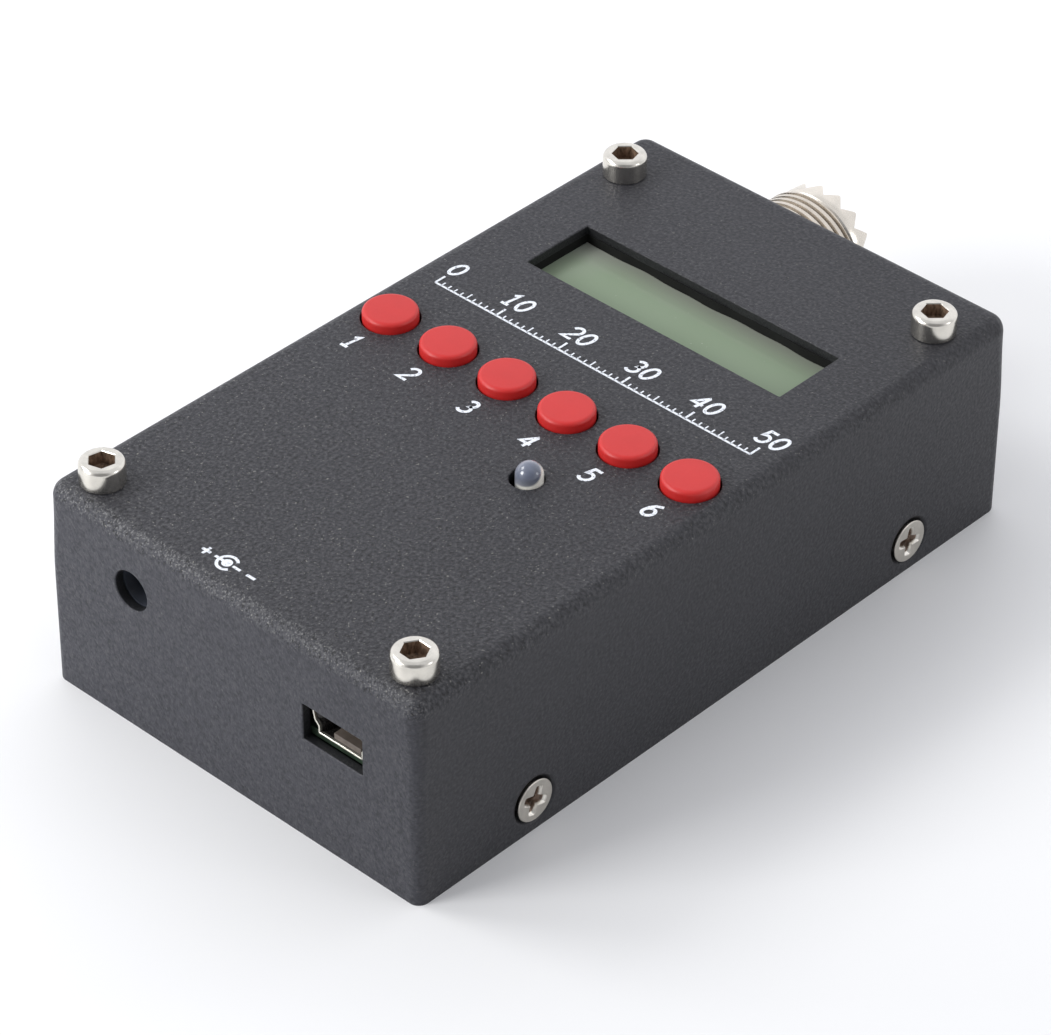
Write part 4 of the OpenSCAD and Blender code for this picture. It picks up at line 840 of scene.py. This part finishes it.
def build_cover(cover, *neighbours):
    """A folded cover: rounded-rectangle loops lofted up its edges, flat sides with openings, and an inside.

    Going up the rounded edge by an angle t, the loop draws in by e - e cos t and rises by e sin t, and
    its corner radius goes from the shoulder's to the crown's as r cos t + crown sin t.
    """
    s = Millimetres(cover)
    low, high = np.array(cover.low) / MM, np.array(cover.high) / MM
    hx, hy, top_z = s.width / 2, s.length / 2, s.height
    foot = top_z - s.edge
    guard = 0.03
    levels = [(0.0, low), (foot - s.rise, low)]
    for u in np.linspace(0, 1, 9)[1:]:
        levels.append((foot - guard - s.rise * (1 - u), low + (high - low) * u * u * (3 - 2 * u)))
    walls = [raised(corner_loop(hx, hy, radii, guard), z) for z, radii in levels]
    count = len(walls[0])
    quarter = count // 4
    bends = [walls[-1]]
    for t in np.linspace(0, np.pi / 2, 13):
        radii = np.maximum(high * math.cos(t), 0.02) + s.crown * math.sin(t)
        inset = s.edge * (1 - math.cos(t))
        bends.append(raised(corner_loop(hx - inset, hy - inset, radii, guard), foot + s.edge * math.sin(t)))
    flat = corner_loop(hx - s.edge - guard, hy - s.edge - guard, [s.crown] * 4, guard)
    bends.append(raised(flat, top_z))
    verts, faces = stack(walls)
    parts = [stack(bends), (verts, [f for f in faces if f[0] % quarter != quarter - 1])]

    steps = 4
    inner = oblong(0, 0, s.width - 2 * s.wall, s.length - 2 * s.wall, s.inner, steps)
    ceiling = top_z - s.wall
    verts, faces = tube([(inner, 0.0), (inner, ceiling)])
    parts.append((verts, [f for f in faces if f[0] % (steps + 1) != steps]))
    parts.append(plate(walls[0][:, :2], [inner]))

    def into(kind):
        """From the plane of a side (u, v, out) to the case."""
        def turned(part):
            (u, v, out), faces = part[0].T, part[1]
            return {"top": np.c_[u, v, top_z + out], "front": np.c_[u, -hy - out, v],
                    "right": np.c_[hx + out, u, v], "rear": np.c_[-u, hy + out, v],
                    "left": np.c_[-hx - out, -u, v]}[kind], faces
        return turned
    sides = cover_openings(s, *[Millimetres(group) for group in neighbours])
    kinds = ("top", "front", "right", "rear", "left")
    for n, (kind, openings) in enumerate(zip(kinds, sides)):
        turned = into(kind)
        if kind == "top":
            outline, inside = flat, inner
        else:
            after, before = quarter * n - 1, (quarter * n) % count
            axis, sign = ((0, 1), (1, 1), (0, -1), (1, -1))[n - 1]
            left = [(sign * w[after, axis], w[after, 2]) for w in walls]
            right = [(sign * w[before, axis], w[before, 2]) for w in walls]
            outline = left[::-1] + right
            reach = (hx, hy)[axis] - s.wall - s.inner
            inside = [(-reach, ceiling), (-reach, 0.0), (reach, 0.0), (reach, ceiling)]
        fronts, backs = [], []
        for hole, rim in openings:
            if kind in ("left", "right"):
                centre = hole.mean(0)
                shares = [(s.dish + (s.seat - s.dish) * u, -s.dish_deep * (1 - math.cos(u * np.pi / 2)))
                          for u in np.linspace(0, 1, 7)]
                shares = [(s.dish + guard, 0.0), *shares, (s.seat - s.wall + s.dish_deep, -s.wall)]
                loops = [(centre + (hole - centre) * (r / s.dish), z) for r, z in shares]
            else:
                t = np.linspace(0, np.pi / 2, 5)
                loops = [(drawn_in(hole, -rim * (1 - math.sin(a))), -rim * (1 - math.cos(a))) for a in t]
                loops = [(drawn_in(hole, -rim - guard), 0.0), *loops, (hole, -s.wall)]
            parts.append(turned(tube(loops)))
            fronts.append(loops[0][0])
            backs.append(loops[-1][0])
        parts.append(turned(plate(outline, fronts)))
        parts.append(turned(plate(inside, backs, -s.wall)))
    piece("case_cover", joined(*parts), F["coat"], "case", ["cover"], 33, weld=0.003)


def build_keys(keys):
    """Each cap is a lathe of its half section: domed roof, rounded edge, skirt, boss and stem hole."""
    s = Millimetres(keys)
    base = CASE_H + s.rise - s.height
    under = s.height - s.roof
    dome, bevel, hollow = 0.05, 0.1, s.radius - s.skirt
    profile = [(0.0, s.height), (s.radius * 0.45, s.height - dome / 5),
               (s.radius - s.edge - 0.25, s.height - dome)]
    profile += [(r, z - dome) for r, z in fillet(s.radius, s.height, s.edge)[::-1]]
    profile += [(s.radius, bevel), (s.radius - bevel, 0.0), (hollow, 0.0), (hollow, under),
                (s.boss, under), (s.boss, 0.0), (s.stem, 0.0), (s.stem, under), (0.0, under)]
    for i in range(1, keys.count + 1):
        x = (i - (keys.count + 1) / 2) * s.pitch
        piece(f"key_{i}_cap", placed(lathe(profile, 96), (x, s.row_y, base)), F["key"], f"key_{i}",
              [f"key_cap_{i}"])


# the bevel at the end of a screw, in millimetres
TIP = 0.3


def hexagon(flats, angles):
    """Radius of a hexagon at an angle a: (flats / 2) / cos(a mod 60 - 30)."""
    return flats / 2 / np.cos(angles % (np.pi / 3) - np.pi / 6)


def build_top_screws(screws):
    """Ring by ring: shank, rounded head, flat top, bevelled hexagon mouth, six walls and a drilled cone."""
    s = Millimetres(screws)
    angles = around(96)
    bevel, floor = 0.12, s.height - s.depth
    profile = [(s.shank - TIP, -s.reach), (s.shank, -s.reach + TIP), (s.shank, 0.0),
               (s.radius - bevel, 0.0), (s.radius, bevel), *fillet(s.radius, s.height, s.edge)]
    rings = [ring(r, z, angles) for r, z in profile]
    rings.append(ring((s.radius - s.edge + hexagon(s.mouth, angles)) / 2, s.height, angles))
    rings.append(ring(hexagon(s.mouth, angles), s.height, angles))
    rings.append(ring(hexagon(s.flats, angles), s.height - 0.1, angles))
    for z in np.linspace(s.height - 0.12, floor, 6):
        rings.append(ring(hexagon(s.flats, angles), z, angles))
    rings.append(ring(s.flats * 0.42, floor - 0.05, angles))
    one = stack(rings, low_pole=(0, 0, -s.reach), high_pole=(0, 0, floor - 0.5))
    spots = ((-s.x, s.front_y, 17), (-s.x, s.rear_y, -16), (s.x, s.front_y, -3), (s.x, s.rear_y, -16))
    made = piece("cap_screws", joined(*[placed(one, (x, y, CASE_H), turn=t) for x, y, t in spots]),
                 F["nickel"], "case", ["top_screws"], 30)

    # the hexagon's walls and floor are marked for the painted shade in brown
    def inside(p):
        far = np.full(len(p), 99.0)
        for x, y, _ in spots:
            far = np.minimum(far, np.hypot(p[:, 0] - x, p[:, 1] - y))
        return (far < s.flats * 0.6) & (p[:, 2] < CASE_H + s.height - 0.11) & (p[:, 2] > CASE_H)
    mark(made, inside)


def cross_recess(x, y, s):
    """Depth of a cross recess: four arms that rise to their ends, round a deeper core."""
    depth = np.zeros_like(x)
    for along, aside in ((np.abs(x), np.abs(y)), (np.abs(y), np.abs(x))):
        width = s.arm_width / 2 * (1 - 0.22 * along / s.arm)
        side = np.clip((width - aside) / 0.3, 0, 1)
        end = np.clip((s.arm - along) / 0.95, 0, 1) ** 0.8
        depth = np.maximum(depth, 0.62 * s.depth * side * end)
    core = np.clip((1.15 - np.abs(x) - np.abs(y)) / 0.45, 0, 1)
    return np.maximum(depth, s.depth * core)


def cross_screw(s, head, cone, rows=54, columns=176):
    """A screw head as rings from the shank up over its rim to the face, which sinks by the cross recess."""
    angles = around(columns)
    rings = [ring(r, z, angles) for r, z in [(s.shank - TIP, -s.reach), (s.shank, -s.reach + TIP), *cone]]
    rings += [ring(r, z, angles) for r, z in fillet(s.radius, head, 0.14, 5)]
    for r in np.linspace(s.radius - 0.16, 0.03, rows):
        x, y = r * np.cos(angles), r * np.sin(angles)
        rings.append(np.c_[x, y, head - cross_recess(x, y, s)])
    return stack(rings, low_pole=(0, 0, -s.reach), high_pole=(0, 0, head - s.depth))


def build_side_screws(screws):
    """Four countersunk screws with cross recesses, each turned as it was left when driven home."""
    s = Millimetres(screws)
    one = cross_screw(s, s.rise, [(s.shank, -1.3), (s.radius, 0.0)])
    half = CASE_W / 2
    spots = ((-half, s.front_y, 35), (-half, s.rear_y, -12), (half, s.front_y, -22), (half, s.rear_y, -10))
    made = piece("side_cross_screws",
                 joined(*[placed(one, (x, y, s.z), (math.copysign(1, x), 0, 0), t) for x, y, t in spots]),
                 F["dull"], "case", ["side_screws"], 50)

    def down_and_out(p):
        """How deep a point lies below the faces, and how far from the nearest screw's axis."""
        out = [np.hypot(p[:, 1] - y, p[:, 2] - s.z) for y in (s.front_y, s.rear_y)]
        return half + s.rise - np.abs(p[:, 0]), np.minimum(*out)

    # the cross recess is marked for the painted shade in brown
    def recess(p):
        down, out = down_and_out(p)
        return (down > 0.38) & (out < s.arm + 0.05)

    # a band round the recess's mouth is marked for a painted highlight
    def lip(p):
        down, out = down_and_out(p)
        return np.clip(1 - np.abs(down - 0.2) / 0.17, 0, 1) * (out < s.arm + 0.1) * 0.9
    mark(made, recess)
    mark(made, lip, "bright")


def build_display(display):
    """The glass as a rounded slab, and the foam as a ring whose rear inner edge waves a little."""
    s = Millimetres(display)
    glass = slab(oblong(0, s.y, s.width + 2 * s.lap, s.length + 2 * s.lap, 0.3), s.top - s.glass, s.top, 0.1)
    piece("display_cell", glass, liquid_crystal(display), "case", ["display_glass"])
    u = np.linspace(-1, 1, 60)[:-1]
    level, ones = np.zeros_like(u), np.ones_like(u)
    x, y = np.concatenate([u, ones, -u, -ones]), np.concatenate([-ones, u, ones, -u])
    wave = s.wave * (0.35 + 0.3 * np.sin(7 * u + 1) + 0.2 * np.sin(17 * u + 2))
    wave *= np.minimum(1.0, (1 - np.abs(u)) * 12)
    dip = np.concatenate([level, level, wave, level])
    inner = np.c_[x * s.width / 2, s.y + y * s.length / 2 - dip]
    outer = np.c_[x * (s.width / 2 + s.foam_lap), s.y + y * (s.length / 2 + s.foam_lap)]
    low, high = s.top, s.top + s.foam
    tiers = [(outer, low), (outer, high), (inner, high), (inner, (low + high) / 2), (inner, low)]
    rings = [raised(outline, z) for outline, z in tiers]
    piece("display_foam_ring", stack(rings, closed=True), F["foam"], "case", ["display_foam"], 50)


def build_lamp(lamp):
    """The lens is a lathe: rim, round body and a half sphere of the body's own radius."""
    s = Millimetres(lamp)
    bevel, high_z = 0.05, s.low_z + 1.0
    profile = [(0.0, s.low_z), (s.rim - bevel, s.low_z), (s.rim, s.low_z + bevel), (s.rim, high_z - bevel),
               (s.rim - bevel, high_z), (s.radius, high_z)]
    t = np.linspace(0, np.pi / 2, 20)
    profile += list(zip(s.radius * np.cos(t), s.dome_z + s.radius * np.sin(t)))
    profile[-1] = (0.0, s.dome_z + s.radius)
    piece("lamp_dome", placed(lathe(profile, 80), (s.x, s.y, 0)), milky_lens(lamp), "case", ["lamp_lens"])


def build_usb(usb):
    """The shell: the rounded outline of its mouth, its sheet folded back into the narrower body."""
    s = Millimetres(usb)

    def outline(low, high, inset):
        mid = low + s.step * (high - low) / (s.high - s.low)
        half = [(low, 0), (low, s.knee), (mid, s.shoulder), (high, s.top - 0.9), (high, s.top)]
        points = half + [(-x, y) for x, y in half[::-1]]
        bends = [0.3, 0.25, 0.25, 0.4, 0.4]
        return drawn_in(rounded_outline(points, bends + bends[::-1], 4), inset)
    wide, body = (s.low, s.high), (s.body_low, s.body_high)
    fold, end = 0.45, 0.9
    tiers = [(*body, 0.0, s.depth), (*body, 0.0, end), (*wide, 0.0, fold), (*wide, 0.02, 0.05),
             (*wide, 0.1, 0.0), (*wide, s.sheet - 0.08, 0.0), (*wide, s.sheet, 0.06), (*wide, s.sheet, fold),
             (*body, s.sheet, end), (*body, s.sheet, s.depth - s.sheet)]
    rings = []
    for low, high, inset, back in tiers:
        flat = outline(low, high, inset)
        rings.append(np.c_[flat[:, 0] + s.x, np.full(len(flat), s.front_y + back), flat[:, 1] + BOARD_Z])
    part = stack(rings, low_pole=rings[0].mean(0), high_pole=rings[-1].mean(0))
    made = piece("usb_mouth", part, F["tin"], "case", ["usb_shell"], 42)
    front = s.front_y + s.core_back
    back = s.front_y + s.depth - s.sheet - 0.1
    low = BOARD_Z + s.sheet + 0.05
    half_core, half_root, bevel = s.core_w / 2, s.root_w / 2, 0.12
    core = [block((s.core_x - half_core, front, low),
                  (s.core_x + half_core, back - s.root_l + 0.1, low + s.core_t), bevel),
            block((s.x - half_root, back - s.root_l, low), (s.x + half_root, back, low + s.root_h), bevel)]
    piece("usb_core", joined(*core), F["core"], "case", ["usb_tongue"])

    # the inside of the shell is marked for painted shade, nearly black
    def inside(p):
        skin = s.sheet * 0.6
        up = p[:, 2] - BOARD_Z
        return (p[:, 1] > s.front_y + 0.4) & (np.abs(p[:, 0] - s.x) < s.high - skin) & (up > skin) & (
            up < s.top - skin)
    mark(made, inside)


def thread_rows(s, start, stop, angles, per_turn=12):
    """Rows that follow the helix: height = start + pitch (row + a / 360), held between start and stop.

    The radius goes from root to crest as a flattened triangle of the row's place in the turn, and both
    ends run out to the root, so that the thread meets plain rings.
    """
    turns = (stop - start) / s.pitch
    crest_half, run_out = 0.08, 0.35
    rows = []
    for place in np.arange(-per_turn, math.ceil(turns * per_turn) + 1) / per_turn:
        z = np.clip(start + s.pitch * (place + angles / (2 * np.pi)), start, stop)
        share = np.clip((abs((place % 1) * 2 - 1) - crest_half) / (0.5 - crest_half), 0, 1)
        fade = np.clip((z - start) / run_out, 0, 1) * np.clip((stop - z) / run_out, 0, 1)
        rows.append(ring(s.root + (s.crest - s.root) * share * fade, z, angles))
    return rows


def build_socket(socket):
    """The barrel: plain root, helical thread, neck and a rim of teeth cut by straight V gaps.

    A gap's floor at a sideways distance t from its middle is end - depth + t depth / half width.
    """
    s = Millimetres(socket)
    columns = socket.teeth * 24
    angles = np.linspace(0, 2 * np.pi, columns + 1)
    foot = REAR_Y - WALL
    end = WALL + s.out
    land = end - s.neck - s.tooth
    start, stop = WALL + s.relief, land - 0.15
    share = 2 * np.pi / socket.teeth

    def teeth(radius):
        off = (angles - socket.turn + share / 2) % share - share / 2
        aside = np.abs(radius * np.sin(off))
        return np.minimum(end - s.tooth + aside * s.tooth / s.tooth_half, end)
    rings = [ring(s.bore, 0.0, angles), ring(s.root, 0.0, angles)]
    rings += thread_rows(s, start, stop, angles)
    valley, bevel, step = end - s.tooth, 0.06, 0.1
    rings += [ring(r, z, angles) for r, z in ((s.crown - bevel, land + step), (s.crown, land + 2 * step),
                                             (s.crown, valley - 0.15))]
    for part in (0.0, 0.5, 1.0):
        rings.append(ring(s.crown, valley - step + (teeth(s.crown) - bevel - valley + step) * part, angles))
    rings.append(ring(s.crown - bevel, teeth(s.crown - bevel), angles))
    for r in np.linspace(s.crown - 0.5, s.bore + 0.05, 4):
        rings.append(ring(r, teeth(r), angles))
    rings.append(ring(s.bore, teeth(s.bore) - 0.05, angles))
    rings.append(ring(s.bore, valley - 0.4, angles))
    rings.append(ring(s.bore, 0.0, angles))
    verts = np.concatenate(rings)
    part = (verts, grid_faces(len(rings), columns + 1))
    made = piece("threaded_barrel", placed(part, (s.x, foot, s.z), (0, 1, 0)), F["worn"], "case",
                 ["socket_barrel"], 34, weld=0.004)

    # painted shade: the thread's grooves are marked deep
    def grooves(p):
        out = np.hypot(p[:, 0] - s.x, p[:, 2] - s.z)
        share = np.clip(1.2 - (out - s.root) / (0.6 * (s.crest - s.root)), 0, 1)
        along = p[:, 1] - foot
        return share * (along > start + 0.2) * (along < stop - 0.2) * (out > s.root - 0.1)
    mark(made, grooves)

    # painted highlight: the neck behind the thread is marked bright, most on its +X side
    def pale(p):
        along = p[:, 1] - foot
        rear_right = (along < land + 0.15) * (p[:, 0] > s.x + 4)
        return np.clip((along - stop) / 0.15, 0, 1) * (0.28 + 0.55 * rear_right)
    mark(made, pale, "bright")


# strokes of the numerals in a box 0.62 wide and 1 high: (points, whether they close)
NUMERALS = {
    "0": [(arc(0.31, 0.5, 0.28, 0.5, 0, 345, 24), True)],
    "1": [([(0.12, 0.8), (0.34, 1.0), (0.34, 0.0)], False), ([(0.12, 0.0), (0.56, 0.0)], False)],
    "2": [(arc(0.31, 0.71, 0.27, 0.29, 165, -35) + [(0.03, 0.0), (0.6, 0.0)], False)],
    "3": [(arc(0.28, 0.76, 0.25, 0.24, 150, -80) + arc(0.28, 0.27, 0.3, 0.27, 80, -150), False)],
    "4": [([(0.44, 0.0), (0.44, 0.95)], False), ([(0.44, 1.0), (0.02, 0.3), (0.62, 0.3)], False)],
    "5": [([(0.55, 1.0), (0.12, 1.0), (0.08, 0.58)] + arc(0.28, 0.32, 0.3, 0.32, 120, -150), False)],
    "6": [(arc(0.31, 0.3, 0.27, 0.3, 0, 345, 20), True),
          ([(0.04, 0.33), (0.07, 0.6), (0.2, 0.84), (0.5, 1.0)], False)],
}


def numerals(text, x, y, height, stroke, low, high):
    """Plain leaning numerals, centred on x with their feet at y.

    A stroke's point (u, v) goes to (x + height (u + lean v), y + height v).
    """
    advance, gap, lean = 0.82 * height, 0.2 * height, 0.18
    start = x - (len(text) * advance - gap) / 2
    parts = []
    for k, sign in enumerate(text):
        for n, (points, loop) in enumerate(NUMERALS[sign]):
            moved = [(start + k * advance + height * (u + lean * v), y + height * v) for u, v in points]
            parts.append(ribbon(moved, stroke, low, high - LAYER * n, loop))
    return joined(*parts)


def build_prints(prints, keys):
    """White ink: a numeral in front of each key, a plain graduated scale and a polarity sign."""
    s, k = Millimetres(prints), Millimetres(keys)
    low, high = CASE_H + LAYER, CASE_H + s.film
    parts = []
    for i in range(1, keys.count + 1):
        x = (i - (keys.count + 1) / 2) * k.pitch
        parts.append(numerals(str(i), x, s.row_y, s.numeral, s.stroke, low, high))
    piece("key_numerals", joined(*parts), F["ink"], "case", ())

    fine, thin = 0.3, 0.2
    parts = [ribbon([(-s.scale_half, s.scale_y), (s.scale_half, s.scale_y)], fine, low, high)]
    for n in range(51):
        x = -s.scale_half + n * s.scale_half / 25
        tall, width = (1.7, fine) if n % 10 == 0 else (1.2, thin) if n % 5 == 0 else (0.75, thin)
        parts.append(ribbon([(x, s.scale_y), (x, s.scale_y + tall)], width, low, high))
        if n % 10 == 0:
            parts.append(numerals(str(n), x, s.scale_y + 2.5, s.numeral, s.stroke, low, high))
    piece("scale_print", joined(*parts), F["ink"], "case", ())

    x, y, bold = s.sign_x, s.sign_y, 0.38
    flat_strokes = ((-3.95, -2.6, bold), (-1.9, -0.2, bold), (0.9, 2.1, bold), (3.1, 4.4, 0.4))
    parts = [ribbon([(x + start, y), (x + stop, y)], width, low, high) for start, stop, width in flat_strokes]
    parts += [ribbon([(x - 3.27, y - 0.68), (x - 3.27, y + 0.68)], bold, low, high - LAYER),
              ribbon(arc(x, y, 1.2, 1.2, 40, 320, 24), 0.4, low, high - LAYER)]
    dot = [(0.0, low), (0.66, low), (0.66, high - 2 * LAYER), (0.0, high - 2 * LAYER)]
    parts.append(placed(lathe(dot, 28), (x, y, 0)))
    piece("polarity_print", joined(*parts), F["ink"], "case", ())


def build_stage(stage):
    """The photograph's camera, from its solved rotation vector, and the soft studio round it."""
    photo_w, focal, off_x, off_y = 1051, 4710.91, 4.594, -3.904
    inward, backward = (0.6, -0.64, 0.48), (-0.68, 0.73, 0)
    turn = Vector((2.0937, 0.8342, -0.4068))
    to_camera = Matrix.Rotation(turn.length, 3, turn.normalized())
    flip = Matrix(((1, 0, 0), (0, -1, 0), (0, 0, -1)))
    cam = bpy.data.cameras.new("camera")
    cam.sensor_width = 36
    cam.lens = cam.sensor_width * focal / photo_w
    cam.shift_x, cam.shift_y = off_x / photo_w, off_y / photo_w
    cam.clip_start, cam.clip_end = 0.01, 20
    seen = bpy.data.objects.new("camera", cam)
    seen.matrix_world = (flip @ to_camera).transposed().to_4x4()
    seen.location = Vector((300.618, -324.231, 348.534)) * MM
    bpy.context.scene.collection.objects.link(seen)
    bpy.context.scene.camera = seen

    for name, toward, far, size, watts in (
            ("key_light", (-0.40, -0.80, 0.44), 1.0, 0.38, stage.key_watts),
            ("left_light", (-0.66, -0.31, 0.69), 1.0, 0.32, stage.left_watts),
            ("rear_light", (0.855, 0.36, 0.37), 1.1, 0.3, stage.rear_watts)):
        light = bpy.data.lights.new(name, "AREA")
        light.shape, light.size, light.energy = "SQUARE", size, watts
        lamp = bpy.data.objects.new(name, light)
        away = Vector(toward).normalized()
        lamp.location = away * far
        lamp.rotation_mode = "QUATERNION"
        lamp.rotation_quaternion = away.to_track_quat("Z", "Y")
        bpy.context.scene.collection.objects.link(lamp)

    world = bpy.data.worlds.new("studio")
    world.use_nodes = True
    sky = Finish.__new__(Finish)
    sky.tree = world.node_tree
    background = sky.tree.nodes["Background"]
    background.inputs["Color"].default_value = (0.95, 0.96, 1.0, 1)
    toward = sky.node("ShaderNodeTexCoord", 0)
    height = sky.node("ShaderNodeSeparateXYZ", 2, Vector=toward)
    share = sky.times(sky.ramp(sky.dot(toward, backward), 0.05, 0.4), sky.ramp(height, 0.86, 0.74))
    even = sky.times(sky.ramp(sky.dot(toward, inward), 0.68, 0.9, 1.0, 0.38), stage.sky)
    lit = sky.maths("ADD", sky.times(share, stage.backdrop), even)
    sky.tree.links.new(lit, background.inputs["Strength"])
    bpy.context.scene.world = world
    bpy.context.scene.view_settings.view_transform = "Standard"

    f = Finish("studio_floor")
    # painted shade: the floor is made darker towards the front and lighter towards the backdrop
    near, far = ((*[v * share for v in stage.floor_colour], 1.0) for share in (0.965, 1.065))
    grey = f.mix(f.ramp(f.dot(f.place, backward), -0.07, 0.0), near, far)
    f.done(f.principled(Base_Color=grey, Roughness=0.45, Specular_IOR_Level=0.3))
    mesh = bpy.data.meshes.new("floor")
    mesh.from_pydata([(x, y, 0) for x, y in ((-4, -4), (4, -4), (4, 4), (-4, 4))], [], [(0, 1, 2, 3)])
    mesh.materials.append(f.material)
    floor = bpy.data.objects.new("floor", mesh)
    bpy.context.scene.collection.objects.link(floor)


# ---------------------------------------------------------------- operators

class ANALYZER_OT_finishes(bpy.types.Operator):
    """Makes the finishes and gives every CAD node its own"""
    bl_idname = "analyzer.finishes"
    bl_label = "Finishes"

    def execute(self, context):
        F.update(finishes())
        for finish, nodes in NODE_FINISH.items():
            for n in nodes:
                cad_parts[n].data.materials.clear()
                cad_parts[n].data.materials.append(F[finish])
        return {"FINISHED"}


class ANALYZER_OT_cover(bpy.types.Operator):
    """Lofts the cover from its outlines and cuts its openings"""
    bl_idname = "analyzer.cover"
    bl_label = "Cover"

    def execute(self, context):
        a = context.scene.analyzer
        build_cover(a.cover, a.keys, a.top_screws, a.side_screws, a.lamp, a.display, a.socket)
        return {"FINISHED"}


class ANALYZER_OT_keys(bpy.types.Operator):
    """Turns the six key caps from their half section"""
    bl_idname = "analyzer.keys"
    bl_label = "Key caps"

    def execute(self, context):
        build_keys(context.scene.analyzer.keys)
        return {"FINISHED"}


class ANALYZER_OT_top_screws(bpy.types.Operator):
    """Stacks the four socket head screws ring by ring"""
    bl_idname = "analyzer.top_screws"
    bl_label = "Top screws"

    def execute(self, context):
        build_top_screws(context.scene.analyzer.top_screws)
        return {"FINISHED"}


class ANALYZER_OT_side_screws(bpy.types.Operator):
    """Makes the four side screws with the depth of their cross recesses"""
    bl_idname = "analyzer.side_screws"
    bl_label = "Side screws"

    def execute(self, context):
        build_side_screws(context.scene.analyzer.side_screws)
        return {"FINISHED"}


class ANALYZER_OT_display(bpy.types.Operator):
    """Makes the display's cell and the foam ring over it"""
    bl_idname = "analyzer.display"
    bl_label = "Display"

    def execute(self, context):
        build_display(context.scene.analyzer.display)
        return {"FINISHED"}


class ANALYZER_OT_lamp(bpy.types.Operator):
    """Turns the indicator lamp's lens"""
    bl_idname = "analyzer.lamp"
    bl_label = "Lamp"

    def execute(self, context):
        build_lamp(context.scene.analyzer.lamp)
        return {"FINISHED"}


class ANALYZER_OT_usb(bpy.types.Operator):
    """Sweeps the USB receptacle's shell along its rounded mouth"""
    bl_idname = "analyzer.usb"
    bl_label = "USB receptacle"

    def execute(self, context):
        build_usb(context.scene.analyzer.usb)
        return {"FINISHED"}


class ANALYZER_OT_socket(bpy.types.Operator):
    """Winds the antenna socket's thread and cuts its teeth"""
    bl_idname = "analyzer.socket"
    bl_label = "Antenna socket"

    def execute(self, context):
        build_socket(context.scene.analyzer.socket)
        return {"FINISHED"}


class ANALYZER_OT_prints(bpy.types.Operator):
    """Lays the white numerals, the scale and the polarity sign on the case"""
    bl_idname = "analyzer.prints"
    bl_label = "Prints"

    def execute(self, context):
        settings = context.scene.analyzer
        build_prints(settings.prints, settings.keys)
        return {"FINISHED"}


class ANALYZER_OT_stage(bpy.types.Operator):
    """Sets up the camera, the lights and the floor"""
    bl_idname = "analyzer.stage"
    bl_label = "Stage"

    def execute(self, context):
        build_stage(context.scene.analyzer.stage)
        return {"FINISHED"}


class ANALYZER_PT_panel(bpy.types.Panel):
    """The sidebar's list of pieces, with the sizes of each"""
    bl_label = "Antenna analyzer"
    bl_idname = "ANALYZER_PT_panel"
    bl_space_type = "VIEW_3D"
    bl_region_type = "UI"
    bl_category = "Analyzer"

    def draw(self, context):
        settings = context.scene.analyzer
        self.layout.operator("analyzer.finishes")
        for name in AnalyzerSettings.__annotations__:
            part = self.layout.box()
            part.operator(f"analyzer.{name}")
            group = getattr(settings, name)
            for size in group.__annotations__:
                part.prop(group, size)


GROUPS = (CoverSizes, KeySizes, TopScrewSizes, SideScrewSizes, DisplaySizes, LampSizes, UsbSizes,
          SocketSizes, PrintSizes, StageSettings, AnalyzerSettings)
OPERATORS = (ANALYZER_OT_finishes, ANALYZER_OT_cover, ANALYZER_OT_keys, ANALYZER_OT_top_screws,
             ANALYZER_OT_side_screws, ANALYZER_OT_display, ANALYZER_OT_lamp, ANALYZER_OT_usb,
             ANALYZER_OT_socket, ANALYZER_OT_prints, ANALYZER_OT_stage)


def register():
    for kind in (*GROUPS, *OPERATORS, ANALYZER_PT_panel):
        bpy.utils.register_class(kind)
    bpy.types.Scene.analyzer = PointerProperty(type=AnalyzerSettings)


def unregister():
    del bpy.types.Scene.analyzer
    for kind in reversed((*GROUPS, *OPERATORS, ANALYZER_PT_panel)):
        bpy.utils.unregister_class(kind)


def main():
    """Registers the add-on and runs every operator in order."""
    register()
    for kind in OPERATORS:
        section, name = kind.bl_idname.split(".")
        if getattr(getattr(bpy.ops, section), name)() != {"FINISHED"}:
            raise RuntimeError(f"{kind.bl_idname} didn't finish")


if __name__ == "__main__":
    main()
